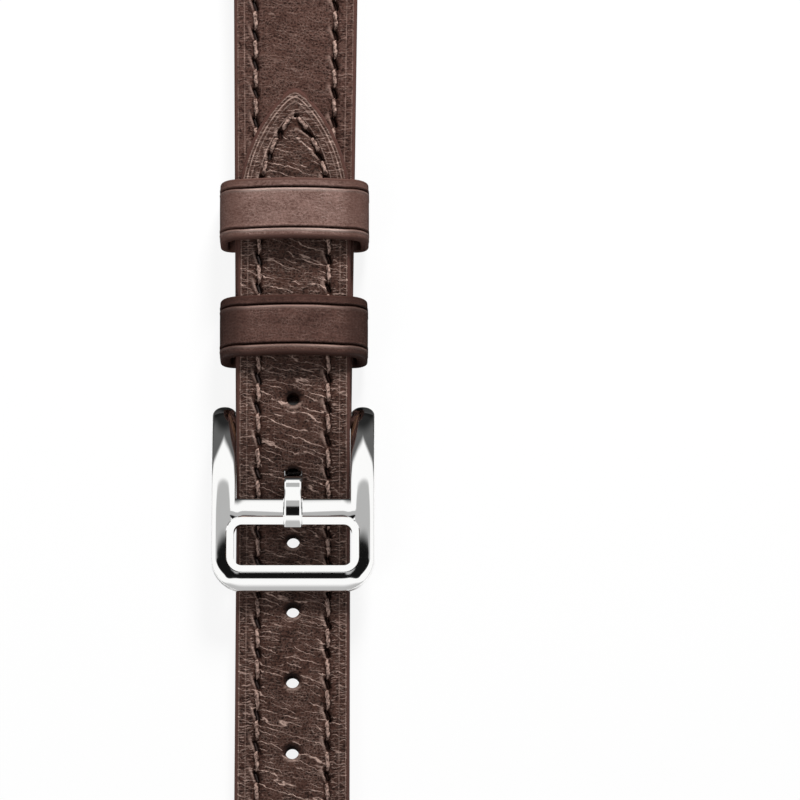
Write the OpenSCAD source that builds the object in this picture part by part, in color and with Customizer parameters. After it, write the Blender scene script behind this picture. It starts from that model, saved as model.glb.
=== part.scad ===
// Leather watch strap, fastened in its pin buckle and lying face up.
// X runs across the strap, +Y towards the watch end of the short strap, +Z out of the face.

/* [Straps] */
// Width of both straps where they meet the watch
lug_w = 16; // [15:0.5:18]
// Width of the tail strap along its parallel stretch
tail_w = 14; // [12:0.5:14]
// Length of the short strap, from the buckle's bar to its watch end
short_len = 75; // [70:1:90]
// Length of the tail strap, from its point to its watch end
tail_len = 120; // [112:1:130]
// Length over which the tail strap widens to the watch end
tail_flare_len = 26; // [15:1:30]
// Length of the pointed end of the tail strap
point_len = 15.9; // [13:0.1:18]
// Length by which the very tip of the point is rounded off
tip_blunt = 0.55; // [0.4:0.05:0.8]

/* [Leather] */
// Thickness of the face leather
face_t = 0.95; // [0.8:0.05:1.1]
// Thickness of the face leather where it is pared to turn round a bar
turn_t = 0.75; // [0.6:0.05:0.9]
// Thickness of the filler between face and lining
filler_t = 0.45; // [0.3:0.05:0.8]
// Thickness of the lining
lining_t = 0.65; // [0.5:0.05:0.8]
// Bevel on the leather's outer edges
edge_bevel = 0.3; // [0.1:0.05:0.4]
// Height that the face loses from its padded middle to its sewn margins
margin_drop = 0.16; // [0:0.02:0.25]
// Length of face leather turned in under the short strap at the buckle
turn_in = 5.6; // [4:0.2:6]
// Length of face leather turned in under each watch end
lug_turn_in = 7; // [5:0.5:10]

/* [Buckle holes] */
// Number of buckle holes in the tail strap
hole_count = 7; // [5:1:7]
// Distance from one hole to the next
hole_pitch = 8.8; // [7:0.1:9.5]
// Radius of a buckle hole
hole_r = 0.92; // [0.8:0.02:1]
// Distance from the point of the tail strap to its first hole
point_to_hole = 31.6; // [28:0.1:34]
// Hole that the tongue stands in, counted from the point
used_hole = 3; // [3:1:3]

/* [Stitching] */
// Distance of the stitching from the edge
stitch_inset = 2.7; // [2.4:0.1:3]
// Distance from one stitch to the next
stitch_pitch = 3.83; // [3:0.01:5]
// Length of thread that shows in one stitch
stitch_len = 3; // [2:0.1:3.2]
// Radius of the thread
thread_r = 0.34; // [0.25:0.01:0.4]
// Angle of each stitch to the line of stitching
stitch_slant = 6; // [0:1:8]
// Distance from the buckle's bar to the middle of the short strap's first stitch
stitch_start = 9.1; // [8:0.1:12]
// Radius of the thread where it is pulled into the lining
under_thread_r = 0.18; // [0.15:0.01:0.2]

/* [Keepers] */
// Width of the fixed keeper along the strap
fixed_keeper_w = 7.5; // [6:0.1:9]
// Width of the loose keeper along the strap
loose_keeper_w = 7.7; // [6:0.1:9]
// Wall of the fixed keeper
fixed_keeper_t = 1.3; // [1:0.05:1.4]
// Wall of the loose keeper
loose_keeper_t = 1; // [0.9:0.05:1.1]
// Distance from the buckle's bar to the fixed keeper
fixed_keeper_y = 6.7; // [6.2:0.1:9]
// Distance between the two keepers
keeper_spacing = 7.4; // [5:0.1:12]
// Distance of each crease from the keeper's edge
crease_inset = 1.25; // [1:0.05:1.6]
// Depth of the creases
crease_depth = 0.2; // [0.1:0.02:0.3]
// Rise of the keepers' arched fronts
keeper_crown = 0.45; // [0.2:0.05:0.8]
// Room beside the straps inside the fixed keeper, on each side
fixed_keeper_room = 0.3; // [0.25:0.05:0.4]
// Room beside the straps inside the loose keeper, on each side
loose_keeper_room = 0.2; // [0.1:0.05:0.3]

/* [Buckle] */
// Width of the frame's side arms, seen from the front
arm_w = 2.75; // [2.4:0.05:3.2]
// Width of the frame's end bar, seen from the front
end_bar_w = 3.07; // [2.6:0.05:3.4]
// Distance from the bar's axis to the far edge of the frame
frame_len = 22.4; // [21.5:0.1:25]
// Radius of the frame's outer corners
frame_corner_r = 4; // [3.2:0.1:4.6]
// Thickness of the frame
frame_t = 1.75; // [1.5:0.05:2]
// Distance from the bar's axis to the near edge of the cross bar
cross_bar_y = 11; // [10.5:0.1:11.5]
// Width of the cross bar beside the arms
cross_bar_w = 3; // [2.7:0.05:3.2]
// Extra width of the cross bar under the tongue
cross_bar_swell = 0.5; // [0.2:0.05:0.8]
// Width of the tongue's seat on the cross bar
seat_w = 2.8; // [2.6:0.05:3.2]
// Length by which the seat stands out into the window
seat_len = 0.5; // [0.3:0.05:0.7]
// Width of the bevel round the window
window_bevel = 0.85; // [0.5:0.05:1]
// Radius of the window's corners
window_r = 1; // [0.6:0.1:1.4]
// Radius of the horns' ends round the bar
horn_r = 1.4; // [1.2:0.05:1.6]
// Height of the horns' tops above the bar's axis
horn_top = 1.2; // [1.1:0.05:1.4]
// Steepness with which the arms bow up from the horns
horn_bow = 2.3; // [1.5:0.1:3]
// Steepest lean of the frame's crowned top, beside its shoulders
crown_lean = 26; // [15:1:35]
// Radius of the frame's shoulders
shoulder_r = 0.32; // [0.2:0.02:0.4]
// Play between the leather and the frame's arms, both sides together
frame_play = 0.5; // [0.4:0.05:1]

/* [Tongue] */
// Width of the tongue
tongue_w = 2.15; // [1.8:0.05:2.2]
// Thickness of the tongue
tongue_t = 0.95; // [0.8:0.05:1]
// Depth by which the tongue is sunk into the cross bar
tongue_sink = 0.35; // [0.2:0.05:0.5]
// Length of the tongue's eye along the bar
eye_len = 3; // [2.6:0.1:3.6]
// Wall of the tongue's eye
eye_wall = 0.55; // [0.4:0.05:0.6]

/* [Spring bars] */
// Radius of the spring bars' tubes
bar_r = 0.75; // [0.65:0.05:0.8]
// Wall of the tubes
bar_wall = 0.2; // [0.15:0.01:0.22]
// Radius of the end pins
pin_r = 0.45; // [0.4:0.01:0.5]
// Length of the end pins
pin_len = 1.15; // [0.9:0.05:1.3]
// Distance that an end pin can be pushed in
pin_travel = 1.05; // [0.8:0.05:1.1]
// Thickness of the pins' shoulders
shoulder_t = 0.35; // [0.25:0.05:0.45]
// Radius of the spring's wire
wire_r = 0.07; // [0.05:0.01:0.08]
// Turns of each spring
spring_turns = 9; // [6:1:12]

/* [Clearances] */
// Glue line between layers of leather
glue = 0.04; // [0.03:0.01:0.06]
// Gap between the two straps where one lies on the other
lay_gap = 0.06; // [0.05:0.01:0.1]
// Gap between the loose keeper and the leather inside it
slide_gap = 0.2; // [0.15:0.05:0.3]
// Radial clearance of a bar in leather
bar_in_leather = 0.1; // [0.05:0.01:0.12]
// Radial clearance between turning or sliding metal parts
run_fit = 0.05; // [0.03:0.01:0.08]
// Height of the short strap's turned end above the table
turn_lift = 0.35; // [0.2:0.05:0.5]
// Gap between the tail strap and the frame's bars above it
frame_gap = 0.2; // [0.15:0.05:0.4]

/* [Hidden] */
$fn = 48;
leather_colour = [0.33, 0.24, 0.21];
keeper_colour = [0.42, 0.33, 0.30];
lining_colour = [0.45, 0.30, 0.22];
thread_colour = [0.47, 0.36, 0.31];
steel_colour = [0.80, 0.80, 0.80];
eps = 0.01;

// Heights in the stack of leather
bar_hole_r = bar_r + bar_in_leather;
turn_r = bar_hole_r + turn_t;
short_back_z = loose_keeper_t + slide_gap;
short_t = lining_t + filler_t + face_t + 2 * glue;
short_top_z = short_back_z + short_t;
bar_z = turn_lift + turn_r;
short_lug_y = short_len - turn_r;
short_lug_z = short_back_z + turn_r;
tail_t = short_t;
lay_z = short_top_z + lay_gap;
over_z = max(lay_z, bar_z + turn_r + lay_gap);

// Frame of the buckle
horn_gap = tail_w + frame_play;
arm_x = (horn_gap + arm_w) / 2;
cross_bar_mid = cross_bar_y + (cross_bar_w + cross_bar_swell) / 2;
window_land = 0.3;
window_y0 = -(cross_bar_y + cross_bar_w + window_land);
window_y1 = -(frame_len - end_bar_w);

// Course of the tail strap, seen from the side
drop_y0 = -1.5;
drop_y1 = -16;
rise_y0 = 8;
tongue_hole_y = -7.35;
walk_step = 0.5;
u_tip = point_to_hole + (used_hole - 1) * hole_pitch;
u_end = u_tip - tail_len;

function smooth(t) = let (u = max(0, min(1, t))) u * u * (3 - 2 * u);
function lerp(a, b, t) = a + (b - a) * t;

// Height of the tail strap's back at a place along Y
function back_z(y) = y > drop_y0
  ? lerp(lay_z, over_z, smooth((rise_y0 - y) / (rise_y0 - drop_y0)))
  : over_z * (1 - smooth((drop_y0 - y) / (drop_y0 - drop_y1)));
function back_slope(y) = atan((back_z(y + eps) - back_z(y - eps)) / (2 * eps));

// Places along Y reached by walking along the leather from the tongue's hole
function walk(way, length) = [
  for (s = 0, y = tongue_hole_y; s <= length; s = s + walk_step, y = y + way * walk_step * cos(back_slope(y))) y
];
walk_to_tip = walk(1, u_tip + 2 * walk_step);
walk_to_end = walk(-1, 2 * walk_step - u_end);
function step_in(list, s) = let (i = floor(s / walk_step)) lerp(list[i], list[i + 1], s / walk_step - i);
function y_at(u) = u >= 0 ? step_in(walk_to_tip, u) : step_in(walk_to_end, -u);

tail_end_y = y_at(u_end);
tail_lug_y = tail_end_y + turn_r;
mid_y = (short_len + tail_end_y) / 2;

// Half widths of the straps
short_buckle_w = tail_w + frame_play / 2;
function short_half(y) = lerp(short_buckle_w, lug_w, max(0, y) / short_len) / 2;
point_r = (point_len * point_len + tail_w * tail_w / 4) / tail_w;
point_cx = tail_w / 2 - point_r;
point_u = u_tip + tip_blunt - point_len;
tip_r = 3 * tip_blunt;
tip_half = 0.15;
function arc_x(radius, rise) = rise >= radius ? 0 : max(0, point_cx + sqrt(radius * radius - rise * rise));
function tip_x(d) = d > tip_r ? tail_w : sqrt(max(0, 2 * tip_r * d - d * d));
function tail_half(u) = u > point_u ? max(tip_half, min(arc_x(point_r, u - point_u), tip_x(u_tip - u)))
  : lerp(tail_w, lug_w, smooth((u_end + tail_flare_len - u) / tail_flare_len)) / 2;
function tail_stitch_x(u) = u > point_u ? arc_x(point_r - stitch_inset, u - point_u) : tail_half(u) - stitch_inset;

// Closed skin over a row of equal rings, with a flat fan at each end
module skin(rings) {
  n = len(rings[0]);
  m = len(rings);
  sides = [for (i = [0:m - 2]) for (j = [0:n - 1])
    let (a = i * n + j, b = i * n + (j + 1) % n) each [[a, b + n, b], [a, a + n, b + n]]];
  first = [[for (j = [0:n - 1]) j]];
  last = [[for (j = [n - 1:-1:0]) (m - 1) * n + j]];
  polyhedron([for (r = rings) each r], concat(first, sides, last), convexity = 8);
}

// Closed skin over rings that run round a loop
module loop_skin(rings) {
  n = len(rings[0]);
  m = len(rings);
  sides = [for (i = [0:m - 1]) for (j = [0:n - 1])
    let (a = i * n + j, b = i * n + (j + 1) % n, c = ((i + 1) % m) * n + j, d = ((i + 1) % m) * n + (j + 1) % n)
    each [[a, d, b], [a, c, d]]];
  polyhedron([for (r = rings) each r], sides, convexity = 8);
}

// Moves the strap so that its middle is at the origin
module placed() translate([0, -mid_y, 0]) children();

// Line that the stitching lies in: wide enough for slanted thread, and deep enough to sink it
groove_play = 0.05;
groove_w = 2 * thread_r + stitch_len * sin(stitch_slant) + 2 * groove_play;
groove_depth = 2 * thread_r - 0.1;
under_depth = 2 * under_thread_r - 0.06;
groove_lean = 0.9;
groove_floor = 0.04;
groove_fade = 0.4;

// Half of a face's outer side as [x, height] pairs, from the edge to the middle
function face_half(half, stitch_x, drop, depth) = let (
    w = min(groove_w, 0.3 * half) / 2,
    line = max(stitch_x, 1.1 * w),
    bevel = min(edge_bevel, 0.2 * half)
  ) [
    [half, -drop - bevel],
    [half - bevel, -drop],
    [line + w, -drop],
    [line + w * groove_lean, -drop - depth],
    [line - w * groove_lean, -drop - depth],
    [line - w, -drop],
    [0.62 * (line - w), 0]
  ];

// Ring of a face: place is [y, z, ny, nz] on its outer side, with the normal pointing out
function face_ring(place, half, stitch_x, drop, depth, t) = let (
    side = face_half(half, stitch_x, drop, depth),
    n = len(side),
    outline = concat([[-half, -t], [half, -t]], side, [[0, 0]], [for (i = [n - 1:-1:0]) [-side[i][0], side[i][1]]])
  ) [for (p = outline) [p[0], place[0] + place[2] * p[1], place[1] + place[3] * p[1]]];

// Ring of a plain layer between two heights above a back line
function layer_ring(place, half, low, high) = [
  for (p = [[-half, low], [half, low], [half, high], [-half, high]])
    [p[0], place[0] + place[2] * p[1], place[1] + place[3] * p[1]]
];

// Places round a bar, from one angle to another
function turn(y, z, from, to, steps) = [
  for (i = [0:steps]) let (a = from + (to - from) * i / steps)
    [y + turn_r * cos(a), z + turn_r * sin(a), cos(a), sin(a)]
];

// Short strap
pad_y = 8;
lug_rise_len = 24;
turn_steps = 8;
turned_ys = [for (k = [1:4]) turn_in * k / 4];
lug_rise_y = short_lug_y - lug_rise_len;
lug_turned_y = short_lug_y - lug_turn_in;
plain_end = 2;
filler_end = bar_hole_r + 0.05;
under_angle = 67.5;
function short_top(y) = y < pad_y
  ? lerp(bar_z + turn_r, short_top_z, smooth(y / pad_y))
  : lerp(short_top_z, short_lug_z + turn_r, smooth((y - lug_rise_y) / lug_rise_len));
function short_face_t(y) = lerp(turn_t, face_t, min(smooth(y / pad_y), smooth((short_lug_y - y) / pad_y)));
function turned_z(y) = lerp(turn_lift, short_back_z, smooth(y / turn_in));
function short_sewn(y) = y <= turn_in || y > short_lug_y - plain_end ? 0 : 1;
function short_ring(place, sewn, t) = let (half = short_half(place[0]))
  face_ring(place, half, half - stitch_inset, margin_drop * sewn, groove_depth * sewn, t);

module short_bar_holes() {
  translate([0, 0, bar_z]) rotate([0, 90, 0]) cylinder(h = 2 * lug_w, r = bar_hole_r, center = true);
  translate([0, short_lug_y, short_lug_z]) rotate([0, 90, 0]) cylinder(h = 2 * lug_w, r = bar_hole_r, center = true);
}

// Slot in the turned end that the tongue's eye stands in
module eye_slot() {
  slot_play = 0.25;
  slot_half = eye_len / 2 + slot_play;
  slot_y = bar_r + run_fit + eye_wall + slot_play;
  translate([-slot_half, -2 * turn_r, -eps]) cube([2 * slot_half, 2 * turn_r + slot_y, over_z]);
}

module short_face_leather() {
  top = concat(turned_ys, [turn_in + groove_fade], [for (k = [0:10]) lerp(pad_y, lug_rise_y, k / 10)],
               [for (k = [1:7]) lerp(lug_rise_y, short_lug_y - plain_end, k / 7)],
               [short_lug_y - plain_end + groove_fade]);
  rings = concat(
    [for (k = [3:-1:0]) short_ring([short_lug_y - lug_turn_in * k / 3, short_back_z, 0, -1], 0, turn_t)],
    [for (p = turn(short_lug_y, short_lug_z, -under_angle, 90, turn_steps - 1)) short_ring(p, 0, turn_t + eps)],
    [for (i = [len(top) - 1:-1:0]) let (y = top[i])
      short_ring([y, short_top(y), 0, 1], short_sewn(y), short_face_t(y))],
    [for (p = turn(0, bar_z, 90, 270, turn_steps)) short_ring(p, 0, turn_t + eps)],
    [for (y = turned_ys) short_ring([y, turned_z(y), 0, -1], 0, turn_t)]
  );
  color(leather_colour) placed() difference() {
    skin(rings);
    short_bar_holes();
    eye_slot();
  }
}

// Distance of the fillers from the straps' edges
filler_inset = 0.15;
layer_step = 0.2;
module short_filler() {
  ys = concat([filler_end], turned_ys, [turn_in + layer_step], [for (k = [0:4]) lerp(pad_y, lug_rise_y, k / 4)],
              [for (k = [1:5]) lerp(lug_rise_y, lug_turned_y - layer_step, k / 5)],
              [lug_turned_y + layer_step, short_lug_y - lug_turn_in / 2, short_lug_y - filler_end]);
  rings = [for (y = ys)
    let (low = y <= turn_in ? turned_z(y) + turn_t : y > lug_turned_y ? short_back_z + turn_t
             : short_back_z + lining_t)
    layer_ring([y, 0, 0, 1], short_half(y) - filler_inset, low + glue, short_top(y) - short_face_t(y) - glue)];
  color(lining_colour) placed() difference() {
    skin(rings);
    eye_slot();
  }
}

lining_gap = 0.1;
module short_lining() {
  y0 = turn_in + lining_gap;
  y1 = lug_turned_y - lining_gap;
  function lining_ring(y, sewn) = face_ring([y, short_back_z, 0, -1], short_half(y), short_half(y) - stitch_inset,
                                            margin_drop / 2 * sewn, under_depth * sewn, lining_t);
  color(lining_colour) placed()
    skin([lining_ring(y0, 0), lining_ring(y0 + groove_fade, 1), lining_ring(y1 - groove_fade, 1), lining_ring(y1, 0)]);
}

// One stitch: a length of thread lying along Y in its groove
module stitch(slant, length, r) {
  rotate([90, 0, slant]) cylinder(h = length, r = r, center = true, $fn = 16);
}
// Depth of the thread's middle below the sewn margin
stitch_sink = groove_depth - thread_r - groove_floor;
under_sink = under_depth - under_thread_r - groove_floor;

module short_stitching() {
  under_start = stitch_start + stitch_pitch / 2;
  count = floor((short_lug_y - plain_end - stitch_len / 2 - groove_fade - stitch_start) / stitch_pitch);
  below = floor((lug_turned_y - lining_gap - groove_fade - stitch_len / 2 - under_start) / stitch_pitch);
  color(thread_colour) placed() for (side = [-1, 1]) {
    for (k = [0:count]) {
      y = stitch_start + k * stitch_pitch;
      rise = atan((short_top(y + 1) - short_top(y - 1)) / 2);
      translate([side * (short_half(y) - stitch_inset), y, short_top(y) - margin_drop - stitch_sink])
        rotate([rise, 0, 0]) stitch(stitch_slant, stitch_len, thread_r);
    }
    for (k = [0:below]) {
      y = under_start + k * stitch_pitch;
      translate([side * (short_half(y) - stitch_inset), y, short_back_z + margin_drop / 2 + under_sink])
        stitch(-stitch_slant, stitch_len, under_thread_r);
    }
  }
}

// Tail strap
function tail_place(u, h) = let (y = y_at(u), a = back_slope(y))
  [y - h * sin(a), back_z(y) + h * cos(a), -sin(a), cos(a)];
tail_rise_len = 22;
u_lug = u_end + turn_r;
function tail_height(u) = lerp(tail_t, 2 * turn_r, smooth((u_lug + tail_rise_len - u) / tail_rise_len));
function tail_face_t(u) = lerp(turn_t, face_t, smooth((u - u_lug) / pad_y));

// Where the stitching meets at the point, and the stations along the tail strap
seam_tip_u = point_u + sqrt(pow(point_r - stitch_inset, 2) - point_cx * point_cx);
flare_u = u_end + tail_flare_len;
tip_fractions = [0, 0.01, 0.03, 0.08, 0.2, 0.45, 0.75];
seam_fractions = [0.064, 0.18, 0.34, 0.54, 0.76, 1];
bend_start = rise_y0 - tongue_hole_y;
bend_top = drop_y0 - tongue_hole_y;
bend_low = -10.5;
last_groove_u = u_lug + plain_end;
tail_us = concat(
  [for (f = tip_fractions) lerp(u_tip, seam_tip_u + groove_fade, f)],
  [seam_tip_u + groove_fade, seam_tip_u],
  [for (f = seam_fractions) lerp(seam_tip_u, point_u, f)],
  [for (k = [1:4]) lerp(point_u, bend_start, k / 4)],
  [for (k = [1:6]) lerp(bend_start, bend_top, k / 6)],
  [for (k = [1:11]) lerp(bend_top, bend_low, k / 11)],
  [for (k = [1:5]) lerp(bend_low, flare_u, k / 5)],
  [for (k = [1:6]) lerp(flare_u, last_groove_u, k / 6)]
);
function tail_drop(u) = u > u_tip - eps || u < last_groove_u ? 0 : margin_drop;
function tail_groove(u) = u > seam_tip_u + eps || u < last_groove_u ? 0 : groove_depth;

// Buckle holes through the tail strap, the used one opened out for the tongue
tongue_play = 0.08;
tongue_u = tongue_t / 2 + groove_play - hole_r;
module tail_holes() {
  for (k = [1:hole_count]) {
    place = tail_place(u_tip - point_to_hole - (k - 1) * hole_pitch, tail_t / 2);
    translate([0, place[0], place[1]]) rotate([back_slope(place[0]), 0, 0]) {
      cylinder(h = 2 * tail_t, r = hole_r, center = true);
      if (k == used_hole) translate([0, tongue_u, 0])
        cube([tongue_w + 2 * tongue_play, tongue_t + 2 * tongue_play, 2 * tail_t], center = true);
    }
  }
}

module tail_face_leather() {
  turn_x = lug_w / 2 - stitch_inset;
  rings = concat(
    [for (u = tail_us) face_ring(tail_place(u, tail_height(u)), tail_half(u), tail_stitch_x(u), tail_drop(u),
                                 tail_groove(u), tail_face_t(u))],
    [for (u = [last_groove_u - groove_fade])
      face_ring(tail_place(u, tail_height(u)), tail_half(u), tail_stitch_x(u), 0, 0, tail_face_t(u))],
    [for (p = turn(tail_lug_y, turn_r, 90, 180 + under_angle, turn_steps - 1))
      face_ring(p, lug_w / 2, turn_x, 0, 0, turn_t + eps)],
    [for (k = [0:3]) let (y = tail_lug_y + lug_turn_in * k / 3)
      face_ring([y, 0, 0, -1], tail_half(u_lug + y - tail_lug_y), turn_x - lining_gap, 0, 0, turn_t)]
  );
  color(leather_colour) placed() difference() {
    skin(rings);
    translate([0, tail_lug_y, turn_r]) rotate([0, 90, 0]) cylinder(h = 2 * lug_w, r = bar_hole_r, center = true);
    tail_holes();
  }
}

module tail_filler() {
  tip_gap = 1.6;
  turned_u = u_lug + lug_turn_in;
  inner_us = concat([for (u = tail_us) if (u < u_tip - tip_gap && u > turned_u + layer_step) u],
                    [turned_u + layer_step, turned_u - layer_step, u_lug + lug_turn_in / 2, u_lug + filler_end]);
  rings = [for (u = inner_us)
    layer_ring(tail_place(u, 0), tail_half(u) - filler_inset, (u < turned_u ? turn_t : lining_t) + glue,
               tail_height(u) - tail_face_t(u) - glue)];
  color(lining_colour) placed() difference() {
    skin(rings);
    tail_holes();
  }
}

module tail_lining() {
  lining_u = u_lug + lug_turn_in + lining_gap;
  us = concat([for (u = tail_us) if (u > lining_u + layer_step) u], [lining_u]);
  rings = [for (u = us) layer_ring(tail_place(u, 0), tail_half(u), 0, lining_t)];
  color(lining_colour) placed() difference() {
    skin(rings);
    tail_holes();
  }
}

// Part of a stitch pitch between the straight seam's upper end and its first stitch
seam_phase = 0.3;
tip_stitch_len = 2;
module tail_stitching() {
  count = floor((point_u - last_groove_u - groove_fade - stitch_len / 2) / stitch_pitch - seam_phase);
  arc_r = point_r - stitch_inset;
  arc_end = acos(-point_cx / arc_r);
  tip_count = ceil(arc_r * arc_end * PI / 180 / stitch_pitch);
  color(thread_colour) placed() for (side = [-1, 1]) {
    for (k = [0:count]) {
      u = point_u - (k + seam_phase) * stitch_pitch;
      y = y_at(u);
      half_len = stitch_len / 2;
      hollow = max(0, (back_z(y + half_len) + back_z(y - half_len)) / 2 - back_z(y));
      place = tail_place(u, tail_height(u) - margin_drop - stitch_sink + hollow);
      rise = atan((tail_height(u + 1) - tail_height(u - 1)) / 2);
      flare = atan((tail_stitch_x(u - 1) - tail_stitch_x(u + 1)) / 2);
      translate([side * tail_stitch_x(u), place[0], place[1]])
        rotate([back_slope(y) + rise, 0, 0]) stitch(stitch_slant + side * flare, stitch_len, thread_r);
    }
    for (k = [1:tip_count]) {
      a = arc_end * (k - 0.5) / tip_count;
      place = tail_place(point_u + arc_r * sin(a), tail_t - margin_drop - stitch_sink);
      translate([side * (point_cx + arc_r * cos(a)), place[0], place[1]]) stitch(side * a, tip_stitch_len, thread_r);
    }
  }
}

// Places round the inside of a keeper, as [x, z, nx, nz] with the normal pointing out
low_corner_r = 0.6;
high_corner_r = 1.5;
corner_steps = 4;
function corner(x, z, r, from) = [
  for (i = [0:corner_steps]) let (a = from + 90 * i / corner_steps) [x + r * cos(a), z + r * sin(a), cos(a), sin(a)]
];
crown_steps = [0.75, 0.5, 0.25, 0, -0.25, -0.5, -0.75];
function keeper_path(half, low, high) = let (span = half - high_corner_r) concat(
  [[0, low, 0, -1]],
  corner(half - low_corner_r, low + low_corner_r, low_corner_r, -90),
  corner(half - high_corner_r, high - high_corner_r, high_corner_r, 0),
  [for (x = crown_steps)
    let (a = 90 - atan(-2 * keeper_crown * x / span))
    [x * span, high + keeper_crown * (1 - x * x), cos(a), sin(a)]],
  corner(-half + high_corner_r, high - high_corner_r, high_corner_r, 90),
  corner(-half + low_corner_r, low + low_corner_r, low_corner_r, 180)
);

// A keeper: a band bent round the straps, creased along both edges of its outside
module keeper(path, w, t) {
  bevel = 0.25;
  crease = 0.22;
  belly = 0.05;
  belly_inset = 2.4;
  side = [[w / 2, t - bevel], [w / 2 - bevel, t], [w / 2 - crease_inset + crease, t],
          [w / 2 - crease_inset, t - crease_depth], [w / 2 - crease_inset - crease, t],
          [w / 2 - belly_inset, t + belly]];
  n = len(side);
  outline = concat([[-w / 2, 0], [w / 2, 0]], side, [for (i = [n - 1:-1:0]) [-side[i][0], side[i][1]]]);
  loop_skin([for (p = path) [for (q = outline) [p[0] + p[2] * q[1], q[0], p[1] + p[3] * q[1]]]]);
}

keeper_high = lay_z + tail_t;
fixed_keeper_mid = fixed_keeper_y + fixed_keeper_w / 2;
loose_keeper_mid = fixed_keeper_y + fixed_keeper_w + keeper_spacing + loose_keeper_w / 2;
module fixed_keeper() {
  half = short_half(fixed_keeper_y + fixed_keeper_w) + slide_gap + fixed_keeper_room;
  color(keeper_colour) placed() translate([0, fixed_keeper_mid, 0])
    keeper(keeper_path(half, short_back_z - glue, keeper_high + glue), fixed_keeper_w, fixed_keeper_t);
}
module loose_keeper() {
  half = lug_w / 2 + loose_keeper_room;
  color(keeper_colour) placed() translate([0, loose_keeper_mid, 0])
    keeper(keeper_path(half, loose_keeper_t, keeper_high + slide_gap), loose_keeper_w, loose_keeper_t);
}

// Frame of the buckle: its top and its underside along Y
bar_under_z = back_z(-cross_bar_y) + tail_t / cos(back_slope(-cross_bar_y)) + frame_gap;
end_under_z = tail_t + frame_gap;
crest_y = 10;
crest_low_z = bar_under_z - 0.1;
function bow(y) = 1 - pow(1 - max(0, min(1, -y / crest_y)), horn_bow);
function end_drop(y) = (crest_low_z - end_under_z) * pow(max(0, (-y - crest_y) / (frame_len - crest_y)), 2);
function frame_top(y) = lerp(bar_z + horn_top, bar_under_z + frame_t, bow(y)) - end_drop(y);
function frame_low(y) = lerp(bar_z - horn_r, crest_low_z, smooth(-y / crest_y)) - end_drop(y);

// Flat-sided section with a low crown and round shoulders, as [across, height] pairs
lean_steps = 4;
shoulder_steps = 3;
foot = 0.18;
function crowned(w, low, high, size) = let (
    r = shoulder_r * size,
    chord = w / 2 - r + r * sin(crown_lean),
    crown_r = chord / sin(crown_lean),
    edge = high - crown_r * (1 - cos(crown_lean)),
    right = concat(
      [[w / 2 - foot * size, low], [w / 2, low + foot * size]],
      [for (i = [0:shoulder_steps]) let (a = (90 - crown_lean) * i / shoulder_steps)
        [w / 2 - r + r * cos(a), edge + r * (sin(a) - cos(crown_lean))]],
      [for (i = [1:lean_steps - 1]) let (a = crown_lean * (1 - i / lean_steps))
        [crown_r * sin(a), high - crown_r * (1 - cos(a))]]
    ),
    n = len(right)
  ) concat(right, [[0, high]], [for (i = [n - 1:-1:0]) [-right[i][0], right[i][1]]]);

// Ring of the frame at a place in plan, turned to an angle and shrunk at the horn's end
function frame_ring(x, y, turn, w, size) = let (
    high = frame_top(y), low = frame_low(y), mid = (high + low) / 2,
    section = crowned(w * size, mid + (low - mid) * size, mid + (high - mid) * size, size)
  ) [for (p = section) [x + p[0] * cos(turn), y + p[0] * sin(turn), p[1]]];

corner_mid_r = frame_corner_r - arm_w / 2;
horn_angles = [14, 34, 60];
corner_y = -(frame_len - end_bar_w / 2 - corner_mid_r);
function frame_half_rings() = concat(
  [for (a = horn_angles) frame_ring(arm_x, horn_r * cos(a), 0, arm_w, sin(a))],
  [for (k = [0:6]) frame_ring(arm_x, corner_y * k / 7, 0, arm_w, 1)],
  [for (a = [0:15:90]) frame_ring(arm_x - corner_mid_r * (1 - cos(a)), corner_y - corner_mid_r * sin(a), -a,
                                  lerp(arm_w, end_bar_w, a / 90), 1)],
  [frame_ring((arm_x - corner_mid_r) / 2, corner_y - corner_mid_r, -90, end_bar_w, 1)]
);
function mirrored(ring) = [for (p = ring) [-p[0], p[1], p[2]]];

bar_top_z = bar_under_z + frame_t;
module cross_bar() {
  into_arm = 0.3 * arm_w;
  reach = horn_gap / 2 + into_arm;
  steps = 10;
  skin([for (k = [0:steps]) let (
      x = lerp(-reach, reach, k / steps),
      w = cross_bar_w + cross_bar_swell * pow(1 - abs(x) / reach, 1.5),
      y = -(cross_bar_y + w / 2)
    ) [for (p = crowned(w, bar_under_z, bar_top_z, 1)) [x, y + p[0], p[1]]]]);
}

// Window through the frame: a rim that lines it, and the cut, whose bevel follows the frame's fall
window_half = tail_w / 2 + frame_play / 2;
window_mid = (window_y0 + window_y1) / 2;
window_height = (window_y0 - window_y1) / 2;
rim_low_z = end_under_z + 0.7;
rim_under = 0.02;
module window_rim() {
  rim_w = window_bevel - 0.03;
  translate([0, window_mid, rim_low_z]) linear_extrude(height = bar_top_z - rim_under - rim_low_z)
    offset(r = window_r + rim_w, $fn = 32)
      square([2 * (window_half - window_r), 2 * (window_height - window_r)], center = true);
}
module window_cut() {
  bevel_z = bar_top_z - window_bevel - 2 * rim_under;
  steps = 6;
  function cut_ring(z, grow, fall) = [
    for (q = [[1, 1, 0], [-1, 1, 90], [-1, -1, 180], [1, -1, 270]]) for (i = [0:steps])
      let (a = q[2] + 90 * i / steps, y = window_mid + q[1] * (window_height - window_r) + (window_r + grow) * sin(a))
      [q[0] * (window_half - window_r) + (window_r + grow) * cos(a), y, z - fall * end_drop(y)]
  ];
  skin([cut_ring(0, 0, 0), cut_ring(bevel_z, 0, 1), cut_ring(bevel_z + frame_t, frame_t, 1),
        cut_ring(bar_top_z + 2 * frame_t, frame_t, 0)]);
}

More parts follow.
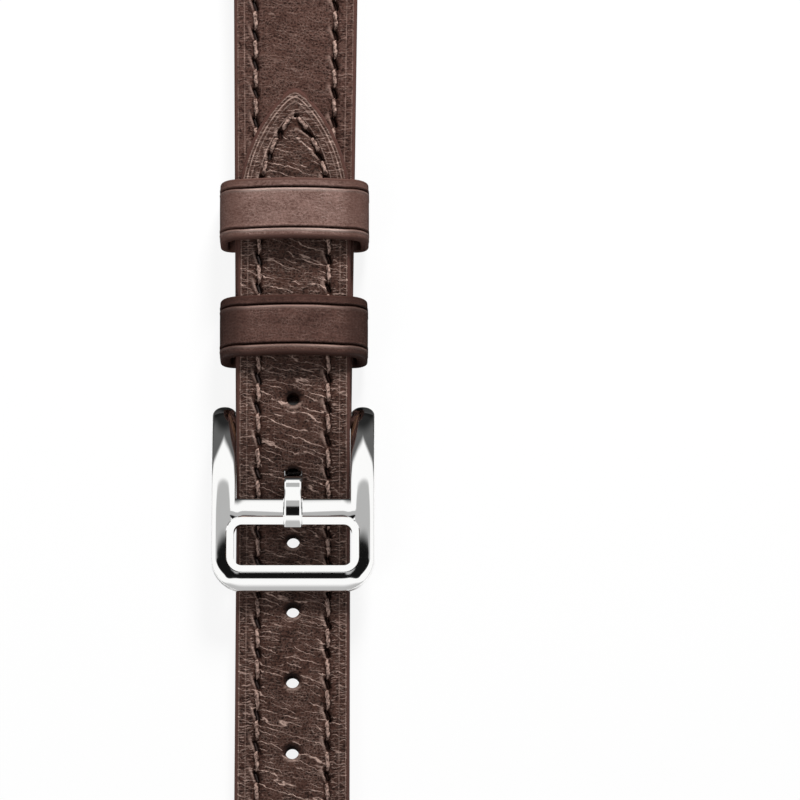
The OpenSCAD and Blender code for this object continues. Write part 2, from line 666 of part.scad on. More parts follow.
// Course of the tongue, seen from the side: out of its eye, up through the hole and over the cross bar
eye_r = bar_r + run_fit + eye_wall;
tongue_over = bar_top_z - tongue_sink + run_fit + tongue_t / 2;
below_hole = 0.35;
above_hole = 0.45;
tongue_low = tail_place(tongue_u, -below_hole);
tongue_high = tail_place(tongue_u, tail_t + above_hole);
tongue_tip_y = 0.05 - (cross_bar_y + cross_bar_w + cross_bar_swell);
// Bends on the way, as [along, up] steps from the hole's low end, its high end and the cross bar's top edge
low_bends = [[1.5, -0.16], [0.5, -0.12]];
high_bend = -0.42;
over_bends = [[1, -0.03], [-0.6, 0]];
tip_bends = [[0, -0.04], [0.5, -0.24], [1, -0.68]];
tongue_course = concat(
  [[-0.5 * eye_r, bar_z + 0.1], [-2.2 * eye_r, lerp(bar_z, tongue_low[1], 0.6)]],
  [for (b = low_bends) [tongue_low[0] + b[0], tongue_low[1] + b[1]]],
  [[tongue_low[0], tongue_low[1]], [tongue_high[0], tongue_high[1]]],
  [[tongue_high[0] + high_bend, lerp(tongue_high[1], tongue_over, 0.75)]],
  [for (b = over_bends) [b[0] - cross_bar_y, tongue_over + b[1]]],
  [for (b = tip_bends) [lerp(-cross_bar_mid, tongue_tip_y, b[0]), tongue_over + b[1]]]
);
function tongue_way(i) = let (
    a = tongue_course[max(0, i - 1)], b = tongue_course[min(len(tongue_course) - 1, i + 1)]
  ) (b - a) / norm(b - a);
// Point beside the course, h above it as the tongue lies
function beside(i, h) = let (way = tongue_way(i)) tongue_course[i] + h * [way[1], -way[0]];

module buckle_tongue() {
  w = tongue_w / 2;
  t = tongue_t / 2;
  c = 0.22;
  section = [[-w, -t], [w, -t], [w, t - c], [w - c, t], [-w + c, t], [-w, t - c]];
  rings = [for (i = [0:len(tongue_course) - 1]) [for (p = section) let (q = beside(i, p[1])) [p[0], q[0], q[1]]]];
  color(steel_colour) placed() difference() {
    union() {
      skin(rings);
      translate([0, 0, bar_z]) rotate([0, 90, 0]) cylinder(h = eye_len, r = eye_r, center = true);
    }
    translate([0, 0, bar_z]) rotate([0, 90, 0]) cylinder(h = 2 * eye_len, r = bar_r + run_fit, center = true);
  }
}

// Seat of the tongue: a tab on the cross bar's far edge, and the channel that the tongue lies in
seat_wall = 0.4;
seat_play = 0.1;
seat_end_y = -(cross_bar_y + cross_bar_w + cross_bar_swell + seat_len);
last_bend = len(tongue_course) - 1;
seat_low_z = bar_under_z + 0.2;
seat_high_z = beside(last_bend, -tongue_t / 2)[1] + 0.35;
module seat_tab() {
  hull() for (side = [-1, 1]) translate([side * (seat_w / 2 - seat_wall), seat_end_y + seat_wall, seat_low_z])
    cylinder(h = seat_high_z - seat_low_z, r = seat_wall, $fn = 24);
  translate([-seat_w / 2, seat_end_y + seat_wall, seat_low_z])
    cube([seat_w, cross_bar_w / 2, seat_high_z - seat_low_z]);
}
module seat_channel() {
  under = [for (i = [last_bend - 5:last_bend]) beside(i, -tongue_t / 2 - run_fit)];
  end_play = seat_play * tongue_way(last_bend);
  outline = concat([[under[0][0], bar_top_z + frame_t]], under,
                   [beside(last_bend, -tongue_t / 2 - run_fit) + end_play, beside(last_bend, 2 * tongue_t) + end_play]);
  rotate([90, 0, 90]) linear_extrude(height = tongue_w + 2 * seat_play, center = true) polygon(outline);
}

pin_bore_depth = pin_len + run_fit;
module buckle_frame() {
  half = frame_half_rings();
  color(steel_colour) placed() difference() {
    union() {
      skin(concat(half, [frame_ring(0, corner_y - corner_mid_r, -90, end_bar_w, 1)],
                  [for (i = [len(half) - 1:-1:0]) mirrored(half[i])]));
      cross_bar();
      window_rim();
    }
    window_cut();
    seat_channel();
    for (side = [-1, 1]) translate([side * (horn_gap / 2 + pin_bore_depth / 2), 0, bar_z])
      rotate([0, 90, 0]) cylinder(h = pin_bore_depth, r = pin_r + run_fit, center = true);
  }
  color(steel_colour) placed() difference() {
    seat_tab();
    seat_channel();
  }
}

// Spring bars: each spans a gap, and its parts are drawn along X from its middle
side_play = 0.1;
crimp_len = 0.4;
pin_chamfer = 0.15;
neck_r = pin_r - 0.17;
head_len = 1;
head_r = bar_r - bar_wall - run_fit;
function shoulder_x(gap) = gap / 2 - side_play - shoulder_t;
function tube_half(gap) = shoulder_x(gap) - pin_travel - run_fit;

module bar_tube(gap) {
  half = tube_half(gap);
  color(steel_colour) rotate([0, 90, 0]) difference() {
    cylinder(h = 2 * half, r = bar_r, center = true);
    cylinder(h = 2 * (half - crimp_len), r = bar_r - bar_wall, center = true);
    cylinder(h = 3 * half, r = neck_r + run_fit, center = true);
  }
}
module bar_pin(gap, side) {
  x = shoulder_x(gap);
  head_x = tube_half(gap) - crimp_len - run_fit - head_len;
  color(steel_colour) rotate([0, side * 90, 0]) rotate_extrude() polygon([
    [0, head_x], [head_r, head_x], [head_r, head_x + head_len], [neck_r, head_x + head_len],
    [neck_r, x], [bar_r, x], [bar_r, x + shoulder_t], [pin_r, x + shoulder_t],
    [pin_r, x + shoulder_t + pin_len - pin_chamfer], [pin_r - pin_chamfer, x + shoulder_t + pin_len],
    [0, x + shoulder_t + pin_len]
  ]);
}

// Coil spring between the heads of the two pins
module bar_spring(gap) {
  half = tube_half(gap) - crimp_len - 2 * run_fit - head_len;
  coil_r = head_r - wire_r;
  steps = 9;
  sides = 5;
  turns = spring_turns * steps;
  color(steel_colour) skin([for (i = [0:turns]) let (a = 360 * i / steps, x = lerp(-half, half, i / turns))
    [for (j = [0:sides - 1]) let (b = 360 * j / sides, r = coil_r + wire_r * cos(b))
      [x + wire_r * sin(b), r * cos(a), r * sin(a)]]]);
}

lug_gap = lug_w + 2 * side_play;
module at_buckle() placed() translate([0, 0, bar_z]) children();
module at_short_lug() placed() translate([0, short_lug_y, short_lug_z]) children();
module at_tail_lug() placed() translate([0, tail_lug_y, turn_r]) children();

short_face_leather();
short_filler();
short_lining();
short_stitching();
tail_face_leather();
tail_filler();
tail_lining();
tail_stitching();
fixed_keeper();
loose_keeper();
buckle_frame();
buckle_tongue();
at_buckle() bar_tube(horn_gap);  // buckle_bar_tube
at_buckle() bar_pin(horn_gap, -1);  // buckle_bar_left_pin
at_buckle() bar_pin(horn_gap, 1);  // buckle_bar_right_pin
at_buckle() bar_spring(horn_gap);  // buckle_bar_spring
at_short_lug() bar_tube(lug_gap);  // short_lug_bar_tube
at_short_lug() bar_pin(lug_gap, -1);  // short_lug_bar_left_pin
at_short_lug() bar_pin(lug_gap, 1);  // short_lug_bar_right_pin
at_short_lug() bar_spring(lug_gap);  // short_lug_bar_spring
at_tail_lug() bar_tube(lug_gap);  // tail_lug_bar_tube
at_tail_lug() bar_pin(lug_gap, -1);  // tail_lug_bar_left_pin
at_tail_lug() bar_pin(lug_gap, 1);  // tail_lug_bar_right_pin
at_tail_lug() bar_spring(lug_gap);  // tail_lug_bar_spring
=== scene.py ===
import bmesh
import bpy
from math import acos, asin, atan, atan2, ceil, cos, degrees, exp, hypot, pi, radians, sin, sqrt, tan
from mathutils import Matrix, Vector, noise


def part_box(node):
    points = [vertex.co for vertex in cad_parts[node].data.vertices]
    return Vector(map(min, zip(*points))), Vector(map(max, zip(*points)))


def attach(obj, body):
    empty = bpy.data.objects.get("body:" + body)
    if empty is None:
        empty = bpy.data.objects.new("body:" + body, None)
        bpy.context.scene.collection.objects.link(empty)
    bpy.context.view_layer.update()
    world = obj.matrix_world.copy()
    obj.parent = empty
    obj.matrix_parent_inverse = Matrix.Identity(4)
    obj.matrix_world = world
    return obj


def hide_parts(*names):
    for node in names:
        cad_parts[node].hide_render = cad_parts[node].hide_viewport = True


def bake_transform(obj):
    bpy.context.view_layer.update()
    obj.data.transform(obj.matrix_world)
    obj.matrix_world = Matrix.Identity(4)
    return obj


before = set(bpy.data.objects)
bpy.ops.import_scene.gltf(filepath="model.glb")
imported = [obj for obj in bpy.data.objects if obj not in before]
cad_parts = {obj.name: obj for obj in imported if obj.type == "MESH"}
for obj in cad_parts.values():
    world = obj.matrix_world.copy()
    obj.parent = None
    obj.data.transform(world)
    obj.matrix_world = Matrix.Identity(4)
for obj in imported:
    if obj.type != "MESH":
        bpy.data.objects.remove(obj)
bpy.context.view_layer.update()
mm = 0.001

# Sizes of the two straps, as the part has them
strap = {
    "lugWidth": 16 * mm, "tailWidth": 14 * mm, "shortLength": 75 * mm, "tailLength": 120 * mm,
    "flareLength": 26 * mm, "pointLength": 15.9 * mm, "tipBlunt": 0.55 * mm,
    "face": 0.95 * mm, "turned": 0.75 * mm, "filler": 0.45 * mm, "lining": 0.65 * mm, "glue": 0.04 * mm,
    "turnIn": 5.6 * mm, "lugTurnIn": 7 * mm, "turnedBack": 0.35 * mm, "marginDrop": 0.16 * mm,
    "gap": 0.06 * mm, "faceFade": 8 * mm, "lugRise": 24 * mm, "tailRise": 22 * mm,
    "holeCount": 7, "usedHole": 3, "holePitch": 8.8 * mm, "holeRadius": 0.92 * mm, "openRadius": 0.81 * mm,
    "pointToHole": 31.6 * mm, "layerInset": 0.03 * mm, "barClear": 0.05 * mm,
}
seam = {
    "inset": 2.7 * mm, "pitch": 3.83 * mm, "length": 2.7 * mm, "threadRadius": 0.29 * mm, "slant": 6,
    "start": 9.1 * mm, "phase": 0.3, "plainEnd": 1.4 * mm, "twist": 620, "dip": 0.75 * mm, "sink": 0.06 * mm,
    "tipLength": 2.2 * mm, "underRadius": 0.18 * mm, "underDip": 0.3 * mm, "underSink": 0.2 * mm,
    "fade": 0.8 * mm, "tipFade": 0.6 * mm, "liningFade": 0.5 * mm,
}
grid = {"top": 0.27 * mm, "turned": 0.8 * mm, "core": 0.6 * mm, "lining": 0.3 * mm, "turn": 26}
bar = {"radius": 0.75 * mm, "hole": 0.85 * mm}

# Heights and places that follow from those sizes, the buckle's bar standing at y = 0
turnRadius = bar["hole"] + strap["turned"]
thickness = strap["lining"] + strap["filler"] + strap["face"] + 2 * strap["glue"]
shortBack = 1.2 * mm
shortTop = shortBack + thickness
barHeight = strap["turnedBack"] + turnRadius
lugY = strap["shortLength"] - turnRadius
lugHeight = shortBack + turnRadius
lugRiseY = lugY - strap["lugRise"]
layHeight = shortTop + strap["gap"]
overHeight = barHeight + turnRadius + strap["gap"]
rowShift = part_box("short_face_leather")[1][1] - strap["shortLength"]
tongueHoleY = -7.35 * mm
tipU = strap["pointToHole"] + (strap["usedHole"] - 1) * strap["holePitch"]
endU = tipU - strap["tailLength"]
lugU = endU + turnRadius


def ease(t):
    t = max(0.0, min(1.0, t))
    return t * t * (3 - 2 * t)


def mix(a, b, t):
    return a + (b - a) * t


def bump(t):
    return exp(-t * t)


# Course of the tail strap: over the short strap, down through the buckle and onto the table
tailWay = {"climbStart": 8 * mm, "crest": -1.5 * mm, "fall": 14.5 * mm, "step": 0.5 * mm, "near": 0.01 * mm}


def backHeight(y):
    crest = tailWay["crest"]
    if y > crest:
        return mix(layHeight, overHeight, ease((tailWay["climbStart"] - y) / (tailWay["climbStart"] - crest)))
    return overHeight * (1 - ease((crest - y) / tailWay["fall"]))


def backSlope(y):
    near = tailWay["near"]
    return atan((backHeight(y + near) - backHeight(y - near)) / (2 * near))


def walk(way, length):
    # Places one step apart along the strap's back, from the used hole
    y, places = tongueHoleY, []
    for step in range(int(length / tailWay["step"]) + 3):
        places.append(y)
        y += way * tailWay["step"] * cos(backSlope(y))
    return places


toTip, toEnd = walk(1, tipU), walk(-1, -endU)


def yAt(u):
    # Lengths u run along the back of the tail strap from the used hole, and are positive towards the point
    places, steps = (toTip, u / tailWay["step"]) if u >= 0 else (toEnd, -u / tailWay["step"])
    first = int(steps)
    return mix(places[first], places[first + 1], steps - first)


tailLugY = yAt(endU) + turnRadius


def backPlace(u, h=0.0):
    # The place at height h over the tail's back as (y, z), followed by the direction that points up from it
    y = yAt(u)
    a = backSlope(y)
    return y - h * sin(a), backHeight(y) + h * cos(a), -sin(a), cos(a)


def tailHeight(u):
    return mix(thickness, 2 * turnRadius, ease((lugU + strap["tailRise"] - u) / strap["tailRise"]))


def tailPlace(u):
    return backPlace(u, tailHeight(u))


def tailFace(u):
    return mix(strap["turned"], strap["face"], ease((u - lugU) / strap["faceFade"]))


# Outline of the tail strap, its point drawn by two arcs, and of the short strap
pointRadius = (strap["pointLength"] ** 2 + strap["tailWidth"] ** 2 / 4) / strap["tailWidth"]
pointX = strap["tailWidth"] / 2 - pointRadius
pointU = tipU + strap["tipBlunt"] - strap["pointLength"]
tipRadius = 3 * strap["tipBlunt"]


def tailEdge(u, inset=0.0):
    if u <= pointU:
        flare = ease((endU + strap["flareLength"] - u) / strap["flareLength"])
        return mix(strap["tailWidth"], strap["lugWidth"], flare) / 2 - inset
    reach, rise = pointRadius - inset, u - pointU
    x = pointX + sqrt(max(0, reach * reach - rise * rise)) if rise < reach else 0
    left = tipU - u - inset
    if left < tipRadius:
        x = min(x, sqrt(max(0, 2 * tipRadius * left - left * left)) if left > 0 else 0)
    return max(0.0, x)


def tailInset(u, x):
    if u <= pointU:
        return tailEdge(u) - x
    rounding = 0.7 * mm * ease((u - pointU) / (6 * mm))
    return pointRadius - hypot(hypot(x, rounding) - pointX, u - pointU)


def shortEdge(y, inset=0.0):
    low = strap["tailWidth"] + 0.25 * mm
    return mix(low, strap["lugWidth"], max(0, y) / strap["shortLength"]) / 2 - inset


def shortHeight(y):
    if y < strap["faceFade"]:
        return mix(barHeight + turnRadius, shortTop, ease(y / strap["faceFade"]))
    return mix(shortTop, lugHeight + turnRadius, ease((y - lugRiseY) / (lugY - lugRiseY)))


def shortFace(y):
    fade = strap["faceFade"]
    return mix(strap["turned"], strap["face"], min(ease(y / fade), ease((lugY - y) / fade)))


def turnedHeight(y):
    return mix(strap["turnedBack"], shortBack, ease(y / strap["turnIn"]))


holeUs = [tipU - strap["pointToHole"] - k * strap["holePitch"] for k in range(strap["holeCount"])]
usedHoleU = holeUs[strap["usedHole"] - 1]


# Mesh helpers
def shadeByAngle(bm, limit):
    for face in bm.faces:
        face.smooth = True
    for edge in bm.edges:
        edge.smooth = len(edge.link_faces) < 2 or edge.calc_face_angle(0) < radians(limit)


def finish(bm, name, materials=(), smoothUpTo=None):
    if smoothUpTo:
        shadeByAngle(bm, smoothUpTo)
    mesh = bpy.data.meshes.new(name)
    bm.to_mesh(mesh)
    bm.free()
    piece = bpy.data.objects.new(name, mesh)
    bpy.context.scene.collection.objects.link(piece)
    for material in materials:
        mesh.materials.append(material)
    return piece


def loft(rows, joined=False, painted=(), marks=None):
    # Lays a grid through equal rows of points, closed round its long edges, and round its ends if joined.
    # Marks give each point its distance from the leather's edge in mm and its painted shading: painted
    # highlight where positive, painted shade where negative
    ring = len(rows[0])
    if joined:
        rows = rows + [rows[0]]
        marks = marks + [marks[0]]
    bm = bmesh.new()
    bmesh.ops.create_grid(bm, x_segments=ring, y_segments=len(rows) - 1, size=1)
    for index, vert in enumerate(bm.verts):
        vert.co = rows[index // (ring + 1)][index % (ring + 1) % ring]
        vert.index = index
    for index, face in enumerate(bm.faces):
        face.material_index = 1 if index % ring in painted else 0
    if marks:
        layer = bm.loops.layers.uv.new("relief")
        for face in bm.faces:
            for corner in face.loops:
                index = corner.vert.index
                corner[layer].uv = marks[index // (ring + 1)][index % (ring + 1) % ring]
    bmesh.ops.remove_doubles(bm, verts=bm.verts, dist=0.002 * mm)
    bmesh.ops.dissolve_degenerate(bm, edges=bm.edges, dist=0.001 * mm)
    bmesh.ops.holes_fill(bm, edges=[e for e in bm.edges if e.is_boundary], sides=0)
    bmesh.ops.recalc_face_normals(bm, faces=bm.faces)
    return bm


def carve(piece, parts, operation):
    # Adds the parts to the piece, or takes their shapes out of it, for good
    for part in parts:
        modifier = piece.modifiers.new("carve", "BOOLEAN")
        modifier.object = part
        modifier.operation = operation
        modifier.solver = "EXACT"
        if operation == "DIFFERENCE":
            modifier.material_mode = "TRANSFER"
    bpy.context.view_layer.update()
    mesh = bpy.data.meshes.new_from_object(piece.evaluated_get(bpy.context.evaluated_depsgraph_get()))
    piece.modifiers.clear()
    piece.data = mesh
    for part in parts:
        bpy.data.objects.remove(part)


def punch(piece, cutter):
    carve(piece, [cutter], "DIFFERENCE")


def pointAt(place, x, h=0.0):
    # A point x across the strap and h out along the place's direction
    y, z, ny, nz = place
    return Vector((x, y + ny * h + rowShift, z + nz * h))


def roundDrop(inset, radius):
    # How far a rounded edge lies below the surface at this distance from its side
    return radius - sqrt(max(0, radius * radius - (radius - inset) ** 2)) if inset < radius else 0.0


def standFor(piece, node):
    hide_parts(node)
    return piece


# Relief of the sewn leather, measured from its padded middle
relief = {
    "edgeRound": 0.42 * mm, "creaseInset": 1.3 * mm, "creaseWidth": 0.1 * mm, "creaseDepth": 0.06 * mm,
    "channelWidth": 0.42 * mm, "channelDepth": 0.24 * mm, "slitWidth": 0.22 * mm, "slitDepth": 0.75 * mm,
    "slitLean": 20, "padStart": 0.3 * mm, "padRise": 1.7 * mm, "lip": 0.09 * mm, "lipFromSlit": 0.42 * mm,
    "lipWidth": 0.16 * mm, "drift": 0.12 * mm, "rimWidth": 0.35 * mm, "rimDepth": 0.12 * mm,
    "ripple": 0.05 * mm, "grain": 0.016 * mm, "calmEdge": 0.5 * mm,
    "holeShade": 1.8 * mm, "highlightFromHole": 0.12 * mm, "highlightWidth": 0.14 * mm, "darkWidth": 0.22 * mm,
}
# Where the points of a sewn face lie: from its edge to inside the seam in mm, then as shares of what is left
fixedInsets = [v * mm for v in (
    0, 0.03, 0.08, 0.15, 0.24, 0.36, 0.5, 0.7, 0.9, 1.08, 1.2, 1.26, 1.32, 1.4, 1.5,
    1.66, 1.85, 2.02, 2.15, 2.26, 2.37, 2.48, 2.59, 2.7, 2.81, 2.92, 3.03, 3.14, 3.25, 3.4)]
innerShares = (0.88, 0.76, 0.64, 0.52, 0.42, 0.32, 0.24, 0.16, 0.08, 0)
backPoints = 3
leftSide = backPoints + 2 * (len(fixedInsets) + len(innerShares)) + 1
paintedColumns = [*range(backPoints, backPoints + 4), *range(leftSide, leftSide + 5)]


def leatherRelief(x, along, inset, share, sewn, holes, crease=1.0):
    # Gives the height and the painted shading of the place: painted highlights and painted shade. share runs
    # from -0.5 to 0.5 over each stitch, so that the needle's slits lie at its ends
    paintedShading = 0.0
    h = -roundDrop(inset, relief["edgeRound"])
    ripple = noise.noise(Vector((x * 420, along * 330, 3.1))) * relief["ripple"]
    grain = noise.noise(Vector((x * 1500, along * 1500, 7.7))) * relief["grain"]
    h += (ripple + grain) * ease(inset / relief["calmEdge"])
    if not sewn:
        return h, paintedShading
    drift = noise.noise(Vector((x * 60, along * 260, 11.3)))
    padded = ease((inset - seam["inset"] - relief["padStart"]) / relief["padRise"])
    h -= strap["marginDrop"] * sewn * (1 - padded)
    fromSeam = inset - seam["inset"] + relief["drift"] * drift
    channel = bump(fromSeam / relief["channelWidth"])
    h -= relief["channelDepth"] * sewn * channel
    fromSlit = (share + 1 + 0.05 * drift) % 1 - 0.5
    opened = ease((0.21 + 0.06 * drift - abs(fromSlit)) / 0.08)
    lean = fromSlit * seam["pitch"] * tan(radians(relief["slitLean"]))
    away = (fromSeam if x < 0 else -fromSeam) + lean
    slit = opened * bump(away / relief["slitWidth"])
    lip = bump((away + relief["lipFromSlit"]) / relief["lipWidth"]) * bump(fromSlit / 0.27)
    h += sewn * (relief["lip"] * lip - relief["slitDepth"] * slit)
    # Painted highlight on the raised lips beside the slits; painted shade in the needle slits and along the
    # seam channel
    paintedShading += sewn * (0.75 * lip - 1.3 * slit - 0.3 * channel)
    fromCrease = (inset - relief["creaseInset"]) / relief["creaseWidth"]
    h -= crease * relief["creaseDepth"] * sewn * bump(fromCrease)
    # Each hole gets a sunk rim, a painted highlight on its lower rim and painted shade on its upper wall
    for hole in holes:
        away = hypot(x, along - hole) - strap["holeRadius"]
        if away < 3 * relief["rimWidth"]:
            h -= relief["rimDepth"] * bump(away / relief["rimWidth"])
            upper = ease(0.5 + (along - hole) / relief["holeShade"])
            paintedShading += 0.5 * (1 - upper) * bump((away - relief["highlightFromHole"]) / relief["highlightWidth"])
            paintedShading -= 1.1 * upper * bump(away / relief["darkWidth"])
    return h, paintedShading


def faceRing(place, edge, insetOf, face, reliefAt):
    # Round a sewn face: its back, painted side, rounded edge and top to the middle, then all that mirrored
    seamX = edge(fixedInsets[-1])
    top = [(edge(inset), insetOf(edge(inset))) for inset in fixedInsets]
    top += [(seamX * share, insetOf(seamX * share)) for share in innerShares]
    half, low = top[0][0], -face
    side = [(half - 0.06 * mm, low), (half, low + 0.06 * mm), (half, mix(low, -relief["edgeRound"], 0.5))]
    right, left = [(x, h, (0, 0)) for x, h in side], [(-x, h, (0, 0)) for x, h in reversed(side)]
    for x, inset in top:
        h, paintedShading = reliefAt(x, inset)
        right.append((x, h, (inset / mm, paintedShading)))
    for x, inset in reversed(top[:-1]):
        h, paintedShading = reliefAt(-x, inset)
        left.insert(len(left) - len(side), (-x, h, (inset / mm, paintedShading)))
    back = [(mix(-half, half, (k + 1) / (backPoints + 1)), low, (0, 0)) for k in range(backPoints)]
    return [(pointAt(place, x, h), mark) for x, h, mark in back + right + left]


def loftFace(rows):
    return loft([[point for point, mark in row] for row in rows], painted=paintedColumns,
                marks=[[mark for point, mark in row] for row in rows])


def turnPlaces(y, z, fromAngle, toAngle):
    # Places round the leather where it turns about a bar
    for step in range(grid["turn"] + 1):
        a = radians(mix(fromAngle, toAngle, step / grid["turn"]))
        yield y + turnRadius * cos(a), z + turnRadius * sin(a), cos(a), sin(a)


def spread(first, last, step):
    count = max(1, round(abs(last - first) / step))
    return [mix(first, last, k / count) for k in range(count + 1)]


def eyeSlot():
    # The opening that the tongue's eye stands in
    bm = bmesh.new()
    bmesh.ops.create_cube(bm, size=1, matrix=Matrix.LocRotScale(
        Vector((0, -0.8 * mm + rowShift, 1.6 * mm)), None, Vector((3.5 * mm, 4.8 * mm, 4.4 * mm))))
    return finish(bm, "eyeSlot")


def makeShortFace(leather, paint):
    def ring(place, face, sewn):
        y = place[0]
        share = ((y - seam["start"]) / seam["pitch"] + 0.5) % 1 - 0.5

        def reliefAt(x, inset):
            return leatherRelief(x, y, inset, share, sewn, ())
        return faceRing(place, lambda inset: shortEdge(y, inset), lambda x: shortEdge(y) - x, face, reliefAt)

    rows = [ring((y, shortBack, 0, -1), strap["turned"], 0)
            for y in spread(lugY - strap["lugTurnIn"], lugY - grid["turned"] / 2, grid["turned"])]
    rows += [ring(p, strap["turned"], 0) for p in turnPlaces(lugY, lugHeight, -90, 90)]
    for y in spread(lugY - 0.3 * mm, 0.3 * mm, grid["top"]):
        sewn = ease((lugY - seam["plainEnd"] - y) / seam["fade"])
        sewn *= ease((y - strap["turnIn"]) / seam["liningFade"])
        rows.append(ring((y, shortHeight(y), 0, 1), shortFace(y), sewn))
    rows += [ring(p, strap["turned"], 0) for p in turnPlaces(0, barHeight, 90, 270)]
    rows += [ring((y, turnedHeight(y), 0, -1), strap["turned"], 0)
             for y in spread(0.3 * mm, strap["turnIn"], grid["core"])]
    piece = finish(loftFace(rows), "shortFace", [leather, paint], 60)
    punch(piece, eyeSlot())
    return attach(standFor(piece, "short_face_leather"), "strap")


def layerRing(place, half, low, high):
    # A plain layer between two heights over a back line
    points = (-half, low), (0, low), (half, low), (half, high), (-half, high)
    return [pointAt(place, x, h) for x, h in points]


def makeShortCore(paint):
    rows = []
    fromBar = bar["hole"] + strap["barClear"]
    for y in spread(fromBar, lugY - fromBar, grid["core"]):
        low = turnedHeight(y) + strap["turned"] if y <= strap["turnIn"] else shortBack + strap["lining"]
        if y > lugY - strap["lugTurnIn"]:
            low = shortBack + strap["turned"]
        rows.append(layerRing((y, 0, 0, 1), shortEdge(y) - strap["layerInset"], low + strap["glue"],
                              shortHeight(y) - shortFace(y) - strap["glue"]))
    piece = finish(loft(rows), "shortCore", [paint])
    punch(piece, eyeSlot())
    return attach(standFor(piece, "short_filler"), "strap")


liningInsets = [v * mm for v in (0, 0.05, 0.13, 0.25, 0.4, 1.2, 2.2, 2.45, 2.6, 2.7, 2.8, 2.95, 3.2, 4.4)]


def liningRing(place, edge, share, sewn):
    # place is on the back of the lining, with its direction pointing away from the strap
    lineDepth = mix(0.28 * mm, 0.5 * mm, ease((share - 0.3) / 0.1))
    top = [(edge(inset), -roundDrop(inset, 0.28 * mm)
            - sewn * lineDepth * bump((inset - seam["inset"]) / (0.3 * mm))) for inset in liningInsets]
    half = top[0][0]
    right = [(half, -strap["lining"])] + top
    left = [(-x, h) for x, h in reversed(right)]
    return [pointAt(place, x, h) for x, h in [(0, -strap["lining"])] + right + left]


def makeShortLining(leather):
    rows = []
    y0, y1 = strap["turnIn"] + 0.1 * mm, lugY - strap["lugTurnIn"] - 0.1 * mm
    for y in spread(y0, y1, grid["lining"]):
        share = abs(((y - seam["start"]) / seam["pitch"]) % 1 - 0.5)
        sewn = ease((y - y0) / seam["liningFade"]) * ease((y1 - y) / seam["liningFade"])
        rows.append(liningRing((y, shortBack, 0, -1), lambda inset: shortEdge(y, inset), share, sewn))
    piece = finish(loft(rows), "shortLining", [leather], 60)
    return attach(standFor(piece, "short_lining"), "strap")


def stitchMesh(length, radius, dip):
    # One stitch: a length of two-ply thread that goes down into the leather at both ends
    bm = bmesh.new()
    ring = bmesh.ops.create_circle(bm, cap_ends=False, segments=8, radius=radius)["verts"]
    for vert in ring:
        a = atan2(vert.co.y, vert.co.x)
        vert.co *= 0.6 + 0.4 * abs(cos(a))
    steps = 10
    bmesh.ops.spin(bm, geom=bm.verts[:] + bm.edges[:], axis=(0, 0, 1), cent=(0, 0, 0), steps=steps,
                   dvec=(0, 0, length / steps), angle=radians(seam["twist"]) * length / (3 * mm))
    bmesh.ops.holes_fill(bm, edges=[e for e in bm.edges if e.is_boundary], sides=0)
    bmesh.ops.translate(bm, verts=bm.verts, vec=(0, 0, -length / 2))
    bmesh.ops.rotate(bm, verts=bm.verts, matrix=Matrix.Rotation(pi / 2, 3, "X"))
    for vert in bm.verts:
        reach = abs(vert.co.y) / (length / 2)
        vert.co.z -= dip * max(0.0, (reach - 0.5) / 0.5) ** 2
    bmesh.ops.recalc_face_normals(bm, faces=bm.faces)
    for face in bm.faces:
        face.smooth = True
    mesh = bpy.data.meshes.new("stitch")
    bm.to_mesh(mesh)
    bm.free()
    return mesh


def sewnThread(name, placements, material):
    bm = bmesh.new()
    for mesh, matrix in placements:
        before = len(bm.verts)
        bm.from_mesh(mesh)
        bm.verts.ensure_lookup_table()
        bmesh.ops.transform(bm, matrix=matrix, verts=bm.verts[before:])
    return finish(bm, name, [material])


def stitchAt(x, y, z, rise, slant, under=False):
    turned = Matrix.Rotation(pi, 4, "Y") if under else Matrix.Identity(4)
    place = Matrix.Translation((x, y + rowShift, z))
    return place @ Matrix.Rotation(rise, 4, "X") @ Matrix.Rotation(radians(slant), 4, "Z") @ turned


def makeShortThread(thread):
    top = stitchMesh(seam["length"], seam["threadRadius"], seam["dip"])
    under = stitchMesh(seam["length"], seam["underRadius"], seam["underDip"])
    placements = []
    count = int((lugY - 2 * mm - seam["length"] / 2 - seam["start"]) / seam["pitch"])
    for side in (-1, 1):
        for k in range(count + 1):
            y = seam["start"] + k * seam["pitch"]
            x = side * shortEdge(y, seam["inset"])
            rise = atan((shortHeight(y + mm) - shortHeight(y - mm)) / (2 * mm))
            z = shortHeight(y) - strap["marginDrop"] - seam["sink"]
            placements.append((top, stitchAt(x, y, z, rise, seam["slant"])))
        last = lugY - strap["lugTurnIn"] - 0.6 * mm - seam["length"] / 2
        y = seam["start"] + seam["pitch"] / 2
        while y < last:
            x = side * shortEdge(y, seam["inset"])
            place = stitchAt(x, y, shortBack + seam["underSink"], 0, -seam["slant"], under=True)
            placements.append((under, place))
            y += seam["pitch"]
    piece = sewnThread("shortThread", placements, thread)
    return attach(standFor(piece, "short_stitching"), "strap")


def bendOverBar(piece):
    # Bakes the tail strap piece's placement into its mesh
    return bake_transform(piece)


seamTipU = pointU + sqrt((pointRadius - seam["inset"]) ** 2 - pointX ** 2)
seamRadius = pointRadius - seam["inset"]
seamEndAngle = acos(-pointX / seamRadius)
tipStitches = ceil(seamRadius * seamEndAngle / seam["pitch"])


def tailSeamShare(u):
    # 0 at the middle of a stitch and half at either end of it, also round the point
    if u > pointU:
        angle = asin(min(1, (u - pointU) / seamRadius))
        return (angle / seamEndAngle * tipStitches) % 1 - 0.5
    return ((u - pointU) / seam["pitch"] + seam["phase"] + 0.5) % 1 - 0.5


def tailRows():
    nearTip = [tipU - v * mm for v in (0, 0.02, 0.05, 0.1, 0.16, 0.24, 0.34, 0.46, 0.6, 0.76, 0.94, 1.14)]
    return nearTip + spread(tipU - 1.35 * mm, lugU + 0.2 * mm, 0.26 * mm)


